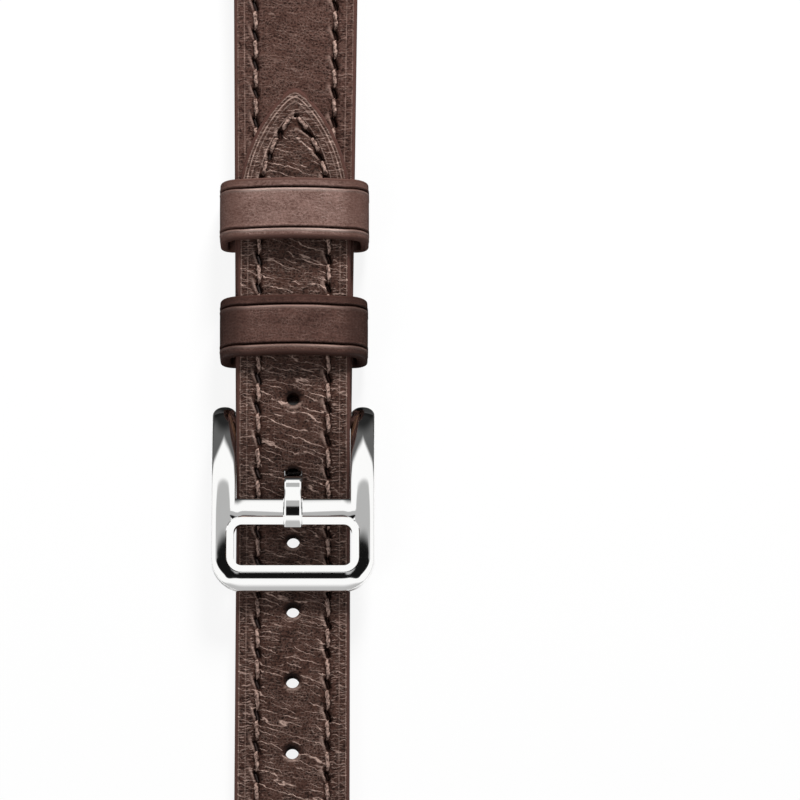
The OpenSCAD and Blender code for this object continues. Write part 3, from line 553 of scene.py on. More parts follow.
def holeCutters():
    # A punch for each buckle hole, and the box that the tongue opens out in the used one
    cylinders = bmesh.new()
    for u in holeUs:
        lean = backSlope(yAt(u))
        place = Matrix.Translation(pointAt(backPlace(u, thickness / 2), 0)) @ Matrix.Rotation(lean, 4, "X")
        radius = strap["holeRadius"] if u == usedHoleU else strap["openRadius"]
        bmesh.ops.create_cone(cylinders, cap_ends=True, segments=48, radius1=radius, radius2=radius,
                              depth=2 * thickness, matrix=place)
        if u == usedHoleU:
            middle = place @ Matrix.Translation((0, tongueU + tongue["punchShift"], 0))
    box = bmesh.new()
    bmesh.ops.create_cube(box, size=1, matrix=middle @ Matrix.Diagonal(
        (tongue["width"] + tongue["play"], tongue["thickness"] + tongue["punchRoom"], 2 * thickness, 1)))
    return cylinders, box, swingRoom()


def plate(outline, half):
    # An (along, height) outline made as wide as the two halves
    bm = bmesh.new()
    face = bm.faces.new([bm.verts.new((-half, p.x + rowShift, p.y)) for p in outline])
    far = bmesh.ops.extrude_face_region(bm, geom=[face])["geom"]
    bmesh.ops.translate(bm, verts=[g for g in far if isinstance(g, bmesh.types.BMVert)], vec=(2 * half, 0, 0))
    bmesh.ops.recalc_face_normals(bm, faces=bm.faces)
    return bm


def swingRoom():
    # The room that the tongue takes in the back of the tail when it is lifted to its limit
    turn, middle = radians(tongue["swing"]), Vector((0, barHeight))
    course = smoothCourse(tongueCourse())
    lifted = []
    for k in range(2, 25):
        way = (course[k + 1] - course[k - 1]).normalized()
        top = course[k] + Vector((way.y, -way.x)) * (tongue["thickness"] / 2 + 2 * tongue["play"]) - middle
        lifted.append(middle + Vector((top.x * cos(turn) + top.y * sin(turn),
                                       top.y * cos(turn) - top.x * sin(turn))))
    below = Vector((0, -2 * mm))
    outline = lifted + [lifted[-1] + below, lifted[0] + below]
    return plate(outline, tongue["width"] / 2 + tongue["play"])


def punchHoles(piece):
    for cutter in holeCutters():
        punch(piece, finish(cutter, "cutter", [punchedEdge]))


def makeTailFace(leather, paint):
    def ring(place, u, face, sewn):
        share = tailSeamShare(u)
        near = [hole for hole in holeUs if abs(hole - u) < 2.5 * mm]

        def reliefAt(x, inset):
            fade = sewn * ease((seamTipU + 0.7 * mm - u) / seam["tipFade"]) if inset > 1.8 * mm else sewn
            return leatherRelief(x, u, inset, share, fade, near, 1 - ease((u - pointU) / (2 * mm)))
        return faceRing(place, lambda inset: tailEdge(u, inset), lambda x: tailInset(u, x), face, reliefAt)

    rows = [ring(tailPlace(u), u, tailFace(u), ease((u - lugU - seam["plainEnd"]) / seam["fade"]))
            for u in tailRows()]
    rows += [ring(p, lugU, strap["turned"], 0) for p in turnPlaces(tailLugY, turnRadius, 90, 270)]
    rows += [ring((y, 0, 0, -1), lugU + y - tailLugY, strap["turned"], 0)
             for y in spread(tailLugY + grid["turned"] / 2, tailLugY + strap["lugTurnIn"], grid["turned"])]
    piece = finish(loftFace(rows), "tailFace", [leather, paint], 60)
    punchHoles(piece)
    return bendOverBar(standFor(piece, "tail_face_leather"))


def makeTailCore(paint):
    rows = []
    for u in tailRows():
        if lugU + bar["hole"] + strap["barClear"] < u < tipU - 0.4 * mm:
            low = strap["turned"] if u < lugU + strap["lugTurnIn"] else strap["lining"]
            rows.append(layerRing(backPlace(u), tailEdge(u) - strap["layerInset"], low + strap["glue"],
                                  tailHeight(u) - tailFace(u) - strap["glue"]))
    piece = finish(loft(rows), "tailCore", [paint])
    punchHoles(piece)
    return bendOverBar(standFor(piece, "tail_filler"))


def makeTailLining(leather):
    rows = []
    last = lugU + strap["lugTurnIn"] + 0.1 * mm
    for u in tailRows():
        if u > last:
            y, z, ny, nz = backPlace(u)
            sewn = ease((seamTipU - 0.2 * mm - u) / seam["tipFade"]) * ease((u - last) / seam["liningFade"])
            rows.append(liningRing((y, z, -ny, -nz), lambda inset: tailEdge(u, inset),
                                   0.5 - abs(tailSeamShare(u)), sewn))
    piece = finish(loft(rows), "tailLining", [leather], 60)
    punchHoles(piece)
    return bendOverBar(standFor(piece, "tail_lining"))


def makeTailThread(thread):
    top = stitchMesh(seam["length"], seam["threadRadius"], seam["dip"])
    tip = stitchMesh(seam["tipLength"], seam["threadRadius"], seam["dip"])
    under = stitchMesh(seam["length"], seam["underRadius"], seam["underDip"])
    sink = strap["marginDrop"] + seam["sink"]
    placements = []
    count = int((pointU - lugU - 2.4 * mm - seam["length"] / 2) / seam["pitch"] - seam["phase"])
    for side in (-1, 1):
        for k in range(count + 1):
            u = pointU - (k + seam["phase"]) * seam["pitch"]
            y, z, ny, nz = tailPlace(u)
            rise = backSlope(yAt(u)) + atan((tailHeight(u + mm) - tailHeight(u - mm)) / (2 * mm))
            flare = atan((tailEdge(u - mm) - tailEdge(u + mm)) / (2 * mm))
            x = side * tailEdge(u, seam["inset"])
            placements.append((top, stitchAt(x, y - ny * sink, z - nz * sink, rise,
                                             seam["slant"] + side * degrees(flare))))
            u -= seam["pitch"] / 2
            if u > lugU + strap["lugTurnIn"] + 2 * mm:
                y, z, ny, nz = backPlace(u, seam["underSink"])
                x = side * tailEdge(u, seam["inset"])
                placements.append((under, stitchAt(x, y, z, backSlope(yAt(u)), -seam["slant"], under=True)))
        for k in range(tipStitches):
            angle = seamEndAngle * (k + 0.5) / tipStitches
            y, z, ny, nz = tailPlace(pointU + seamRadius * sin(angle))
            x = side * (pointX + seamRadius * cos(angle))
            placements.append((tip, stitchAt(x, y, z - sink, 0, side * degrees(angle) + 5)))
    return bendOverBar(standFor(sewnThread("tailThread", placements, thread), "tail_stitching"))


# Keepers: bands bent round both straps
keepers = {
    "fixedKeeper": {
        "node": "fixed_keeper", "body": "strap", "width": 7.5 * mm, "wall": 1.3 * mm, "middle": 10.45 * mm,
        "half": shortEdge(14.2 * mm) + 0.5 * mm, "low": shortBack - 0.04 * mm,
        "high": layHeight + thickness + 0.04 * mm},
    "looseKeeper": {
        "node": "loose_keeper", "body": "loose_keeper", "width": 7.7 * mm, "wall": 1 * mm,
        "middle": 25.45 * mm, "half": 8.2 * mm, "low": 1 * mm, "high": layHeight + thickness + 0.2 * mm},
}
band = {
    "lowCorner": 0.6 * mm, "highCorner": 1.5 * mm, "crown": 0.75 * mm, "belly": 0.06 * mm,
    "edgeRound": 0.3 * mm, "backRound": 0.1 * mm, "grain": 0.02 * mm,
    "creaseInset": 1.25 * mm, "creaseWidth": 0.1 * mm, "creaseDepth": 0.26 * mm, "creaseRows": 0.07 * mm,
    "lip": 0.05 * mm, "lipWidth": 0.13 * mm, "lipFromCrease": 0.28 * mm, "highlightFromCrease": 0.34 * mm,
    "highlightWidth": 0.17 * mm, "darkWidth": 0.11 * mm, "sideFade": 0.4 * mm, "rows": 0.28 * mm,
}


def bandPath(half, low, high):
    def corner(x, z, radius, start):
        for step in range(11):
            a = radians(start + 9 * step)
            yield x + radius * cos(a), z + radius * sin(a), cos(a), sin(a)
    lowR, highR = band["lowCorner"], band["highCorner"]
    span = half - highR
    path = [(mix(-span, half - lowR, share), low, 0, -1) for share in (0, 0.25, 0.5, 0.75)]
    path += list(corner(half - lowR, low + lowR, lowR, -90))
    path += list(corner(half - highR, high - highR, highR, 0))[:-1]
    for step in range(25):
        share = 1 - step / 12
        a = pi / 2 - atan(-2 * band["crown"] * share / span)
        path.append((share * span, high + band["crown"] * (1 - share * share), cos(a), sin(a)))
    path += list(corner(-half + highR, high - highR, highR, 90))[1:]
    path += list(corner(-half + lowR, low + lowR, lowR, 180))
    return path


def makeKeeper(name, leather):
    keeper = keepers[name]
    width, wall, r, back = keeper["width"], keeper["wall"], band["edgeRound"], band["backRound"]
    nearCrease = [side * (width / 2 - band["creaseInset"] + d * band["creaseRows"])
                  for side in (-1, 1) for d in range(-8, 9)]
    across = sorted({round(v, 7) for v in spread(r - width / 2, width / 2 - r, band["rows"]) + nearCrease})
    angles = [k * pi / 8 for k in range(4)]
    rounding = [(r - r * cos(a), wall - r + r * sin(a)) for a in angles]
    rows, marks = [], []
    for x, z, nx, nz in bandPath(keeper["half"], keeper["low"], keeper["high"]):
        outline = [(-width / 2 + back, 0, 0), (width / 2 - back, 0, 0), (width / 2, back, 0)]
        outline += [(width / 2 - inset, h, 0) for inset, h in rounding]
        for place in reversed(across):
            fromCrease = width / 2 - abs(place) - band["creaseInset"]
            h = wall - band["creaseDepth"] * bump(fromCrease / band["creaseWidth"])
            h += band["lip"] * bump((abs(fromCrease) - band["lipFromCrease"]) / band["lipWidth"])
            h += band["belly"] * (1 - (2 * place / width) ** 2)
            h += band["grain"] * noise.noise(Vector((x * 300, place * 300, z * 300)))
            # Painted highlight just below each crease and painted shade in the crease line; the bands outside
            # the creases are also made a little darker, most the upper one
            lower = -fromCrease if place > 0 else fromCrease
            streak = 0.6 + 0.6 * noise.noise(Vector((x * 160, place * 200, 5.0)))
            paintedShading = 1.2 * streak * bump((lower + band["highlightFromCrease"]) / band["highlightWidth"])
            paintedShading -= 1.4 * bump(fromCrease / band["darkWidth"])
            paintedShading -= (0.2 if place > 0 else 0.05) * ease(-fromCrease / band["sideFade"])
            outline.append((place, h, paintedShading))
        outline += [(inset - width / 2, h, 0) for inset, h in reversed(rounding)]
        outline += [(-width / 2, back, 0)]
        rows.append([Vector((x + nx * h, place + keeper["middle"] + rowShift, z + nz * h))
                     for place, h, paintedShading in outline])
        marks.append([((width / 2 - abs(place)) / mm, paintedShading) for place, h, paintedShading in outline])
    piece = finish(loft(rows, joined=True, marks=marks), name, [leather], 60)
    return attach(standFor(piece, keeper["node"]), keeper["body"])


# Buckle: its frame stands over the tail strap, and its tongue goes up through the used hole
buckle = {
    "hornGap": 14.06 * mm, "armWidth": 2.97 * mm, "endWidth": 3.07 * mm, "length": 22.4 * mm,
    "corner": 4 * mm, "thickness": 1.75 * mm, "crestY": 10 * mm, "overTail": 0.2 * mm,
    "hornRadius": 1.4 * mm, "hornTop": 1.05 * mm, "hornBow": 2.6, "foot": 0.18 * mm, "shoulder": 0.32 * mm,
    "crossY": 11 * mm, "crossWidth": 3 * mm, "crossSwell": 0.5 * mm, "crossSunk": 0.09 * mm,
    "seatWidth": 2.8 * mm, "seatLength": 0.5 * mm, "seatPlay": 0.1 * mm,
    "bevel": 0.85 * mm, "bevelLean": 19, "step": 0.12 * mm, "windowCorner": 1 * mm, "windowGap": 0.3 * mm,
    "windowPlay": 0.25 * mm, "pinRadius": 0.5 * mm, "pinDepth": 1.34 * mm, "crossLow": 1.4 * mm,
    "tabHalf": 1.4 * mm, "tabRise": 0.35 * mm, "tabCorner": 0.4 * mm,
}
# How the top of each bar leans outward, as (share of its width from its inner edge, degrees)
hornLean = (0, -26), (0.3, -10.4), (0.5, 0), (1, 26)
armLean = (0, -14), (0.25, -4), (0.8, 3), (1, 14)
lowLean = (0, -5), (0.3, -1), (0.78, 3), (1, 15)
cornerLean = (0, -2), (0.34, 1), (0.66, 9), (1, 28)
endLean = (0, 5.6), (0.38, 7.5), (0.52, 20), (1, 33)
crossLean = (0, -38), (0.16, -8), (0.5, 3), (0.62, 10), (1, 16)
tongue = {
    "width": 2.15 * mm, "thickness": 0.95 * mm, "sink": 0.35 * mm, "eyeLength": 3 * mm, "eyeWall": 0.55 * mm,
    "chamfer": 0.24 * mm, "round": 0.06 * mm, "play": 0.05 * mm, "swing": 4.5, "punchShift": 0.15 * mm,
    "punchRoom": 0.66 * mm,
}
tongueU = tongue["thickness"] / 2 + tongue["play"] - strap["holeRadius"]
eyeBore = bar["radius"] + tongue["play"]
eyeRadius = eyeBore + tongue["eyeWall"]
crossUnder = (backHeight(-buckle["crossY"]) + thickness / cos(backSlope(-buckle["crossY"]))
              + buckle["overTail"])
crossTop = crossUnder + buckle["thickness"]
endUnder = thickness + buckle["overTail"]
armX = (buckle["hornGap"] + buckle["armWidth"]) / 2
crossEnd = buckle["crossY"] + buckle["crossWidth"] + buckle["crossSwell"]
crossMiddle = (buckle["crossY"] + crossEnd) / 2


def bowed(y):
    # 0 at the bar, 1 where the frame is highest
    return 1 - (1 - min(1, -y / buckle["crestY"])) ** buckle["hornBow"]


def endDrop(y):
    return max(0, (-y - buckle["crestY"]) / (buckle["length"] - buckle["crestY"])) ** 2


def frameTop(y):
    return mix(barHeight + buckle["hornTop"], crossTop, bowed(y)) - (crossUnder - endUnder) * endDrop(y)


def frameLow(y):
    under = crossUnder - 0.1 * mm
    rise = mix(barHeight - buckle["hornRadius"], under, ease(-y / buckle["crestY"]))
    return rise - (under - endUnder) * endDrop(y)


def mixLean(first, second, share):
    return [(mix(a[0], b[0], share), mix(a[1], b[1], share)) for a, b in zip(first, second)]


def leanAt(lean, share):
    for (before, low), (after, high) in zip(lean, lean[1:]):
        if share <= after:
            return radians(mix(low, high, (share - before) / (after - before)))
    return radians(lean[-1][1])


def bowSection(width, low, high, lean, size=1.0):
    # Flat-sided bar with a low crown and rounded shoulders, as (across, height) points from its middle on
    foot, r = buckle["foot"] * size, buckle["shoulder"] * size
    inner, outer = leanAt(lean, 0), leanAt(lean, 1)
    start, end = -width / 2 + r + r * sin(inner), width / 2 - r + r * sin(outer)
    crown, z, steps = [], 0.0, 24
    for step in range(steps + 1):
        crown.append((mix(start, end, step / steps), z))
        z -= tan(leanAt(lean, (step + 0.5) / steps)) * (end - start) / steps
    lift = high - max(z for p, z in crown)
    crown = [(p, z + lift) for p, z in crown]
    section = [(width / 2 - foot, low), (width / 2, low + foot)]
    for side, tilt, (p, z) in ((1, outer, crown[-1]), (-1, inner, crown[0])):
        middleP, middleZ = side * (width / 2 - r), z - r * cos(tilt)
        arc = [(middleP + side * r * cos(a), middleZ + r * sin(a))
               for a in (mix(0, pi / 2 - side * tilt, k / 5) for k in range(5))]
        wall = (side * width / 2, mix(low + foot, middleZ, 0.5))
        section += [wall, *arc, *crown[:0:-1]] if side > 0 else [crown[0], *arc[::-1], wall]
    return [(0, low)] + section + [(-width / 2, low + foot), (-width / 2 + foot, low)]


def frameRing(x, y, turn, width, lean, size=1.0):
    high, low = frameTop(y), frameLow(y)
    middle = (high + low) / 2
    section = bowSection(width * size, mix(middle, low, size), mix(middle, high, size), lean, size)
    return [Vector((x + p * cos(turn), y + p * sin(turn) + rowShift, z)) for p, z in section]


def frameRings():
    bend = buckle["corner"] - buckle["armWidth"] / 2
    cornerY = -(buckle["length"] - buckle["endWidth"] / 2 - bend)
    half = []
    for a in (radians(v) for v in (3, 8, 14, 21, 29, 38, 48, 60, 75)):
        half.append(frameRing(armX, buckle["hornRadius"] * cos(a), 0, buckle["armWidth"], hornLean,
                              sin(a)))
    for y in spread(0, cornerY, 0.4 * mm)[:-1]:
        lean = mixLean(mixLean(hornLean, armLean, ease((-y - 2 * mm) / (7 * mm))), lowLean,
                       ease((-y - 12 * mm) / (4 * mm)))
        half.append(frameRing(armX, y, 0, buckle["armWidth"], lean))
    for step in range(31):
        a = radians(3 * step)
        lean = mixLean(lowLean, cornerLean, ease(step / 15))
        if step > 15:
            lean = mixLean(cornerLean, endLean, ease((step - 15) / 15))
        half.append(frameRing(armX - bend * (1 - cos(a)), cornerY - bend * sin(a), -a,
                              mix(buckle["armWidth"], buckle["endWidth"], step / 30), lean))
    half += [frameRing(x, cornerY - bend, -pi / 2, buckle["endWidth"], endLean)
             for x in spread(armX - bend, 0, 0.5 * mm)[1:]]
    other = [[Vector((-p.x, p.y, p.z)) for p in ring] for ring in reversed(half[:-1])]
    return half + other


def crossRings():
    reach = buckle["hornGap"] / 2 + buckle["armWidth"] * 0.3
    rows = []
    for x in spread(-reach, reach, 0.3 * mm):
        width = buckle["crossWidth"] + buckle["crossSwell"] * (1 - abs(x) / reach) ** 1.5
        y = -(buckle["crossY"] + width / 2)
        sunk = buckle["crossSunk"] * ease((abs(x) - buckle["hornGap"] / 2 + 0.9 * mm) / (1.4 * mm))
        rows.append([Vector((x, y + p + rowShift, z))
                     for p, z in bowSection(width, crossUnder, crossTop - sunk, crossLean)])
    return rows


def frameDrop(y):
    return frameTop(y) - crossTop


def roundedPrism(halfX, halfY, radius, middleY, levels, lift=lambda y: 0.0):
    # A rounded rectangle carried up through levels of (height, outward growth), lifted to follow the frame
    rows = []
    for z, grow in levels:
        ring = []
        for sx, sy, start in ((1, 1, 0), (-1, 1, 90), (-1, -1, 180), (1, -1, 270)):
            for step in range(9):
                a = radians(start + 11.25 * step)
                y = middleY + sy * (halfY - radius) + (radius + grow) * sin(a)
                ring.append(Vector((sx * (halfX - radius) + (radius + grow) * cos(a), y + rowShift,
                                    z + lift(y))))
        rows.append(ring)
    return loft(rows)


def tongueCourse():
    # Places (y, z) along the middle of the tongue, from its eye through the hole to its tip
    low = backPlace(tongueU, -0.35 * mm)[:2]
    high = backPlace(tongueU, thickness + 0.45 * mm)[:2]
    over = crossTop - tongue["sink"] + tongue["play"] + tongue["thickness"] / 2
    tip = 0.05 * mm - crossEnd
    return [Vector(p) for p in (
        (-0.5 * eyeRadius, barHeight + 0.1 * mm), (-2.2 * eyeRadius, mix(barHeight, low[1], 0.6)),
        (low[0] + 1.5 * mm, low[1] - 0.16 * mm), (low[0] + 0.5 * mm, low[1] - 0.12 * mm), low, high,
        (high[0] - 0.42 * mm, mix(high[1], over, 0.72)), (mm - buckle["crossY"], over - 0.17 * mm),
        (-0.5 * mm - buckle["crossY"], over), (-crossMiddle, over - 0.08 * mm),
        (mix(-crossMiddle, tip, 0.5), over - 0.34 * mm), (tip, over - 0.86 * mm))]


def smoothCourse(points):
    # A Catmull-Rom curve through the points
    curve, steps = [], 8
    for k in range(len(points) - 1):
        a, b = points[max(0, k - 1)], points[k]
        c, d = points[k + 1], points[min(len(points) - 1, k + 2)]
        for step in range(steps):
            t = step / steps
            curve.append(0.5 * (2 * b + (c - a) * t + (2 * a - 5 * b + 4 * c - d) * t * t
                                + (3 * b - a - 3 * c + d) * t * t * t))
    return curve + [points[-1]]


def seatChannel():
    # The channel that the tongue's end lies in, cut from the cross bar and its tab
    course = tongueCourse()
    under = []
    for k in range(6, len(course)):
        way = (course[min(k + 1, len(course) - 1)] - course[k - 1]).normalized()
        h = -tongue["thickness"] / 2 - tongue["play"]
        under.append(course[k] + Vector((way.y, -way.x)) * h)
    side = Vector((way.y, -way.x))
    play = way * buckle["seatPlay"]
    outline = [Vector((under[0].x, crossTop + buckle["thickness"]))] + under
    outline += [under[-1] + play, course[-1] + side * 2 * tongue["thickness"] + play]
    return plate(outline, tongue["width"] / 2 + buckle["seatPlay"])


def addRod(bm, radius, length, segments, x=0.0):
    # A round rod along the buckle's bar
    place = Matrix.Translation((x, rowShift, barHeight)) @ Matrix.Rotation(pi / 2, 4, "Y")
    bmesh.ops.create_cone(bm, cap_ends=True, segments=segments, radius1=radius, radius2=radius, depth=length,
                          matrix=place)


def polish(piece, steel, limit, merged=0.0):
    # Shades a steel piece after its cuts, and gives all of it one finish
    bm = bmesh.new()
    bm.from_mesh(piece.data)
    if merged:
        bmesh.ops.remove_doubles(bm, verts=bm.verts, dist=merged)
    shadeByAngle(bm, limit)
    bm.to_mesh(piece.data)
    bm.free()
    piece.data.materials.clear()
    piece.data.materials.append(steel)


def makeBuckleFrame(steel):
    windowY0 = -(buckle["crossY"] + buckle["crossWidth"] + buckle["windowGap"])
    windowY1 = -(buckle["length"] - buckle["endWidth"])
    middleY, halfY = (windowY0 + windowY1) / 2, (windowY0 - windowY1) / 2
    halfX = strap["tailWidth"] / 2 + buckle["windowPlay"]
    bevel, step = buckle["bevel"], buckle["step"]

    def windowPrism(*levels):
        return roundedPrism(halfX, halfY, buckle["windowCorner"], middleY, levels, frameDrop)

    piece = finish(loft(frameRings()), "buckleFrame", [steel])
    cross = finish(loft(crossRings()), "crossBar")
    rimWidth = bevel + 0.1 * mm
    rim = windowPrism((crossTop - buckle["crossLow"], rimWidth), (crossTop + 0.01 * mm, rimWidth))
    tabHigh = tongueCourse()[-1].y - tongue["thickness"] / 2 + buckle["tabRise"]
    tabHalf = buckle["tabHalf"]
    tab = roundedPrism(buckle["seatWidth"] / 2, tabHalf, buckle["tabCorner"],
                       tabHalf - crossEnd - buckle["seatLength"], ((crossUnder + 0.2 * mm, 0), (tabHigh, 0)))
    carve(piece, [cross, finish(rim, "windowRim"), finish(tab, "seatTab")], "UNION")
    bevelTop = crossTop - 0.1 * mm
    bevelLow = bevelTop - bevel * tan(radians(buckle["bevelLean"]))
    window = windowPrism((0, 0), (bevelLow, 0), (bevelTop, bevel), (bevelTop + 1.3 * step, bevel + step),
                         (bevelTop + 2 * mm, bevel + 1.3 * step))
    punch(piece, finish(window, "window"))
    punch(piece, finish(seatChannel(), "seatChannel"))
    bores = bmesh.new()
    for side in (-1, 1):
        addRod(bores, buckle["pinRadius"], buckle["pinDepth"], 32, side * (buckle["hornGap"] / 2 + 0.66 * mm))
    punch(piece, finish(bores, "pinBores"))
    polish(piece, steel, 28, merged=0.003 * mm)
    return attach(standFor(piece, "buckle_frame"), "buckle")


def makeTongue(steel):
    w, t, c, r = tongue["width"] / 2, tongue["thickness"] / 2, tongue["chamfer"], tongue["round"]
    section = [(-w, r - t), (r - w, -t), (w - r, -t), (w, r - t),
               (w, t - 1.1 * c), (w, t - c), (w - c * 0.3, t - c * 0.3), (w - c, t), (w - 1.1 * c, t)]
    section += [(-x, h) for x, h in reversed(section[4:])]
    course = smoothCourse(tongueCourse())
    rows = []
    for k, point in enumerate(course):
        way = (course[min(k + 1, len(course) - 1)] - course[max(k - 1, 0)]).normalized()
        rows.append([Vector((x, point.x + way.y * h + rowShift, point.y - way.x * h)) for x, h in section])
    piece = finish(loft(rows), "tongueBlade", [steel], 35)
    eye, bore = bmesh.new(), bmesh.new()
    addRod(eye, eyeRadius, tongue["eyeLength"], 64)
    addRod(bore, eyeBore, 2 * tongue["eyeLength"], 64)
    carve(piece, [finish(eye, "eye")], "UNION")
    punch(piece, finish(bore, "eyeBore"))
    polish(piece, steel, 35)
    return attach(standFor(piece, "buckle_tongue"), "tongue")


# Shader sockets that add and multiply as numbers do
class Wire:
    def __init__(self, nodes, socket):
        self.nodes, self.socket = nodes, socket

    def __add__(self, other):
        return self.nodes.math("ADD", self, other)

    def __sub__(self, other):
        return self.nodes.math("SUBTRACT", self, other)

    def __rsub__(self, other):
        return self.nodes.math("SUBTRACT", other, self)

    def __mul__(self, other):
        return self.nodes.math("MULTIPLY", self, other)

    __radd__, __rmul__ = __add__, __mul__


class Nodes:
    def __init__(self, tree):
        self.tree = tree

    def join(self, value, socket):
        if isinstance(value, Wire):
            self.tree.links.new(value.socket, socket)
        else:
            socket.default_value = value

    def node(self, kind, settings, inputs, output=0):
        made = self.tree.nodes.new("ShaderNode" + kind)
        for key, value in settings.items():
            setattr(made, key, value)
        for key, value in inputs.items():
            self.join(value, made.inputs[key])
        return Wire(self, made.outputs[output])

    def math(self, operation, *values):
        return self.node("Math", {"operation": operation}, dict(enumerate(values)))

    def place(self, kind="Object"):
        return self.node("TexCoord", {}, {}, kind)

    def part(self, vector, axis):
        return self.node("SeparateXYZ", {}, {0: vector}, axis)

    def ray(self, kind):
        return self.node("LightPath", {}, {}, f"Is {kind} Ray")

    def noise(self, place, scale, detail, rough, output=0):
        inputs = {"Vector": place, "Scale": scale, "Detail": detail, "Roughness": rough}
        return self.node("TexNoise", {}, inputs, output)

    def ramp(self, value, low, high, start=0.0, end=1.0):
        # Smooth step from start to end as value goes from low to high
        return self.node("MapRange", {"interpolation_type": "SMOOTHSTEP"},
                         {"Value": value, "From Min": low, "From Max": high, "To Min": start, "To Max": end})

    def line(self, away, width, strength=1.0):
        return self.ramp(away, 0.0, width, strength, 0.0)

    def shaken(self, place, drift, by):
        # The place moved sideways by up to half of by
        return self.node("VectorMath", {"operation": "MULTIPLY_ADD"}, {0: drift, 1: (by, by, 0.0), 2: place})

    def blendColours(self, share, first, second):
        return self.node("Mix", {"data_type": "RGBA"}, {"Factor": share, 6: first, 7: second}, 2)

    def bumps(self, height, strength, distance):
        return self.node("Bump", {}, {"Strength": strength, "Distance": distance, "Height": height})


class Surface(Nodes):
    def __init__(self, name):
        self.material = bpy.data.materials.new(name)
        self.material.use_nodes = True
        super().__init__(self.material.node_tree)
        self.shader = self.tree.nodes["Principled BSDF"]

    def set(self, **values):
        for key, value in values.items():
            self.join(value, self.shader.inputs[key.replace("_", " ")])


def linear(r, g, b):
    def one(v):
        v /= 255
        return v / 12.92 if v <= 0.04045 else ((v + 0.055) / 1.055) ** 2.4
    return one(r), one(g), one(b), 1.0


# The leather's wavy lines: their distance, how far they are drawn out and sway, their width and their turn
wavyLines = {
    "fine": {"size": 0.42 * mm, "stretch": 3, "sway": 2.6, "width": 0.16, "turn": -5},
    "folds": {"size": 0.95 * mm, "stretch": 3.4, "sway": 2.8, "width": 0.085, "turn": -18},
    "cracks": {"size": 0.36 * mm, "stretch": 4, "sway": 2.4, "width": 0.19, "turn": 3},
}
net = {"size": 0.4 * mm, "width": 0.08 * mm, "wander": 0.45 * mm}
# Near-black colour of the painted shade in slits, crease lines, the seam channel and the upper walls of holes
paintedShadeColour = 0.004, 0.002, 0.0015, 1
sideShade = 5.2 * mm, 7.6 * mm


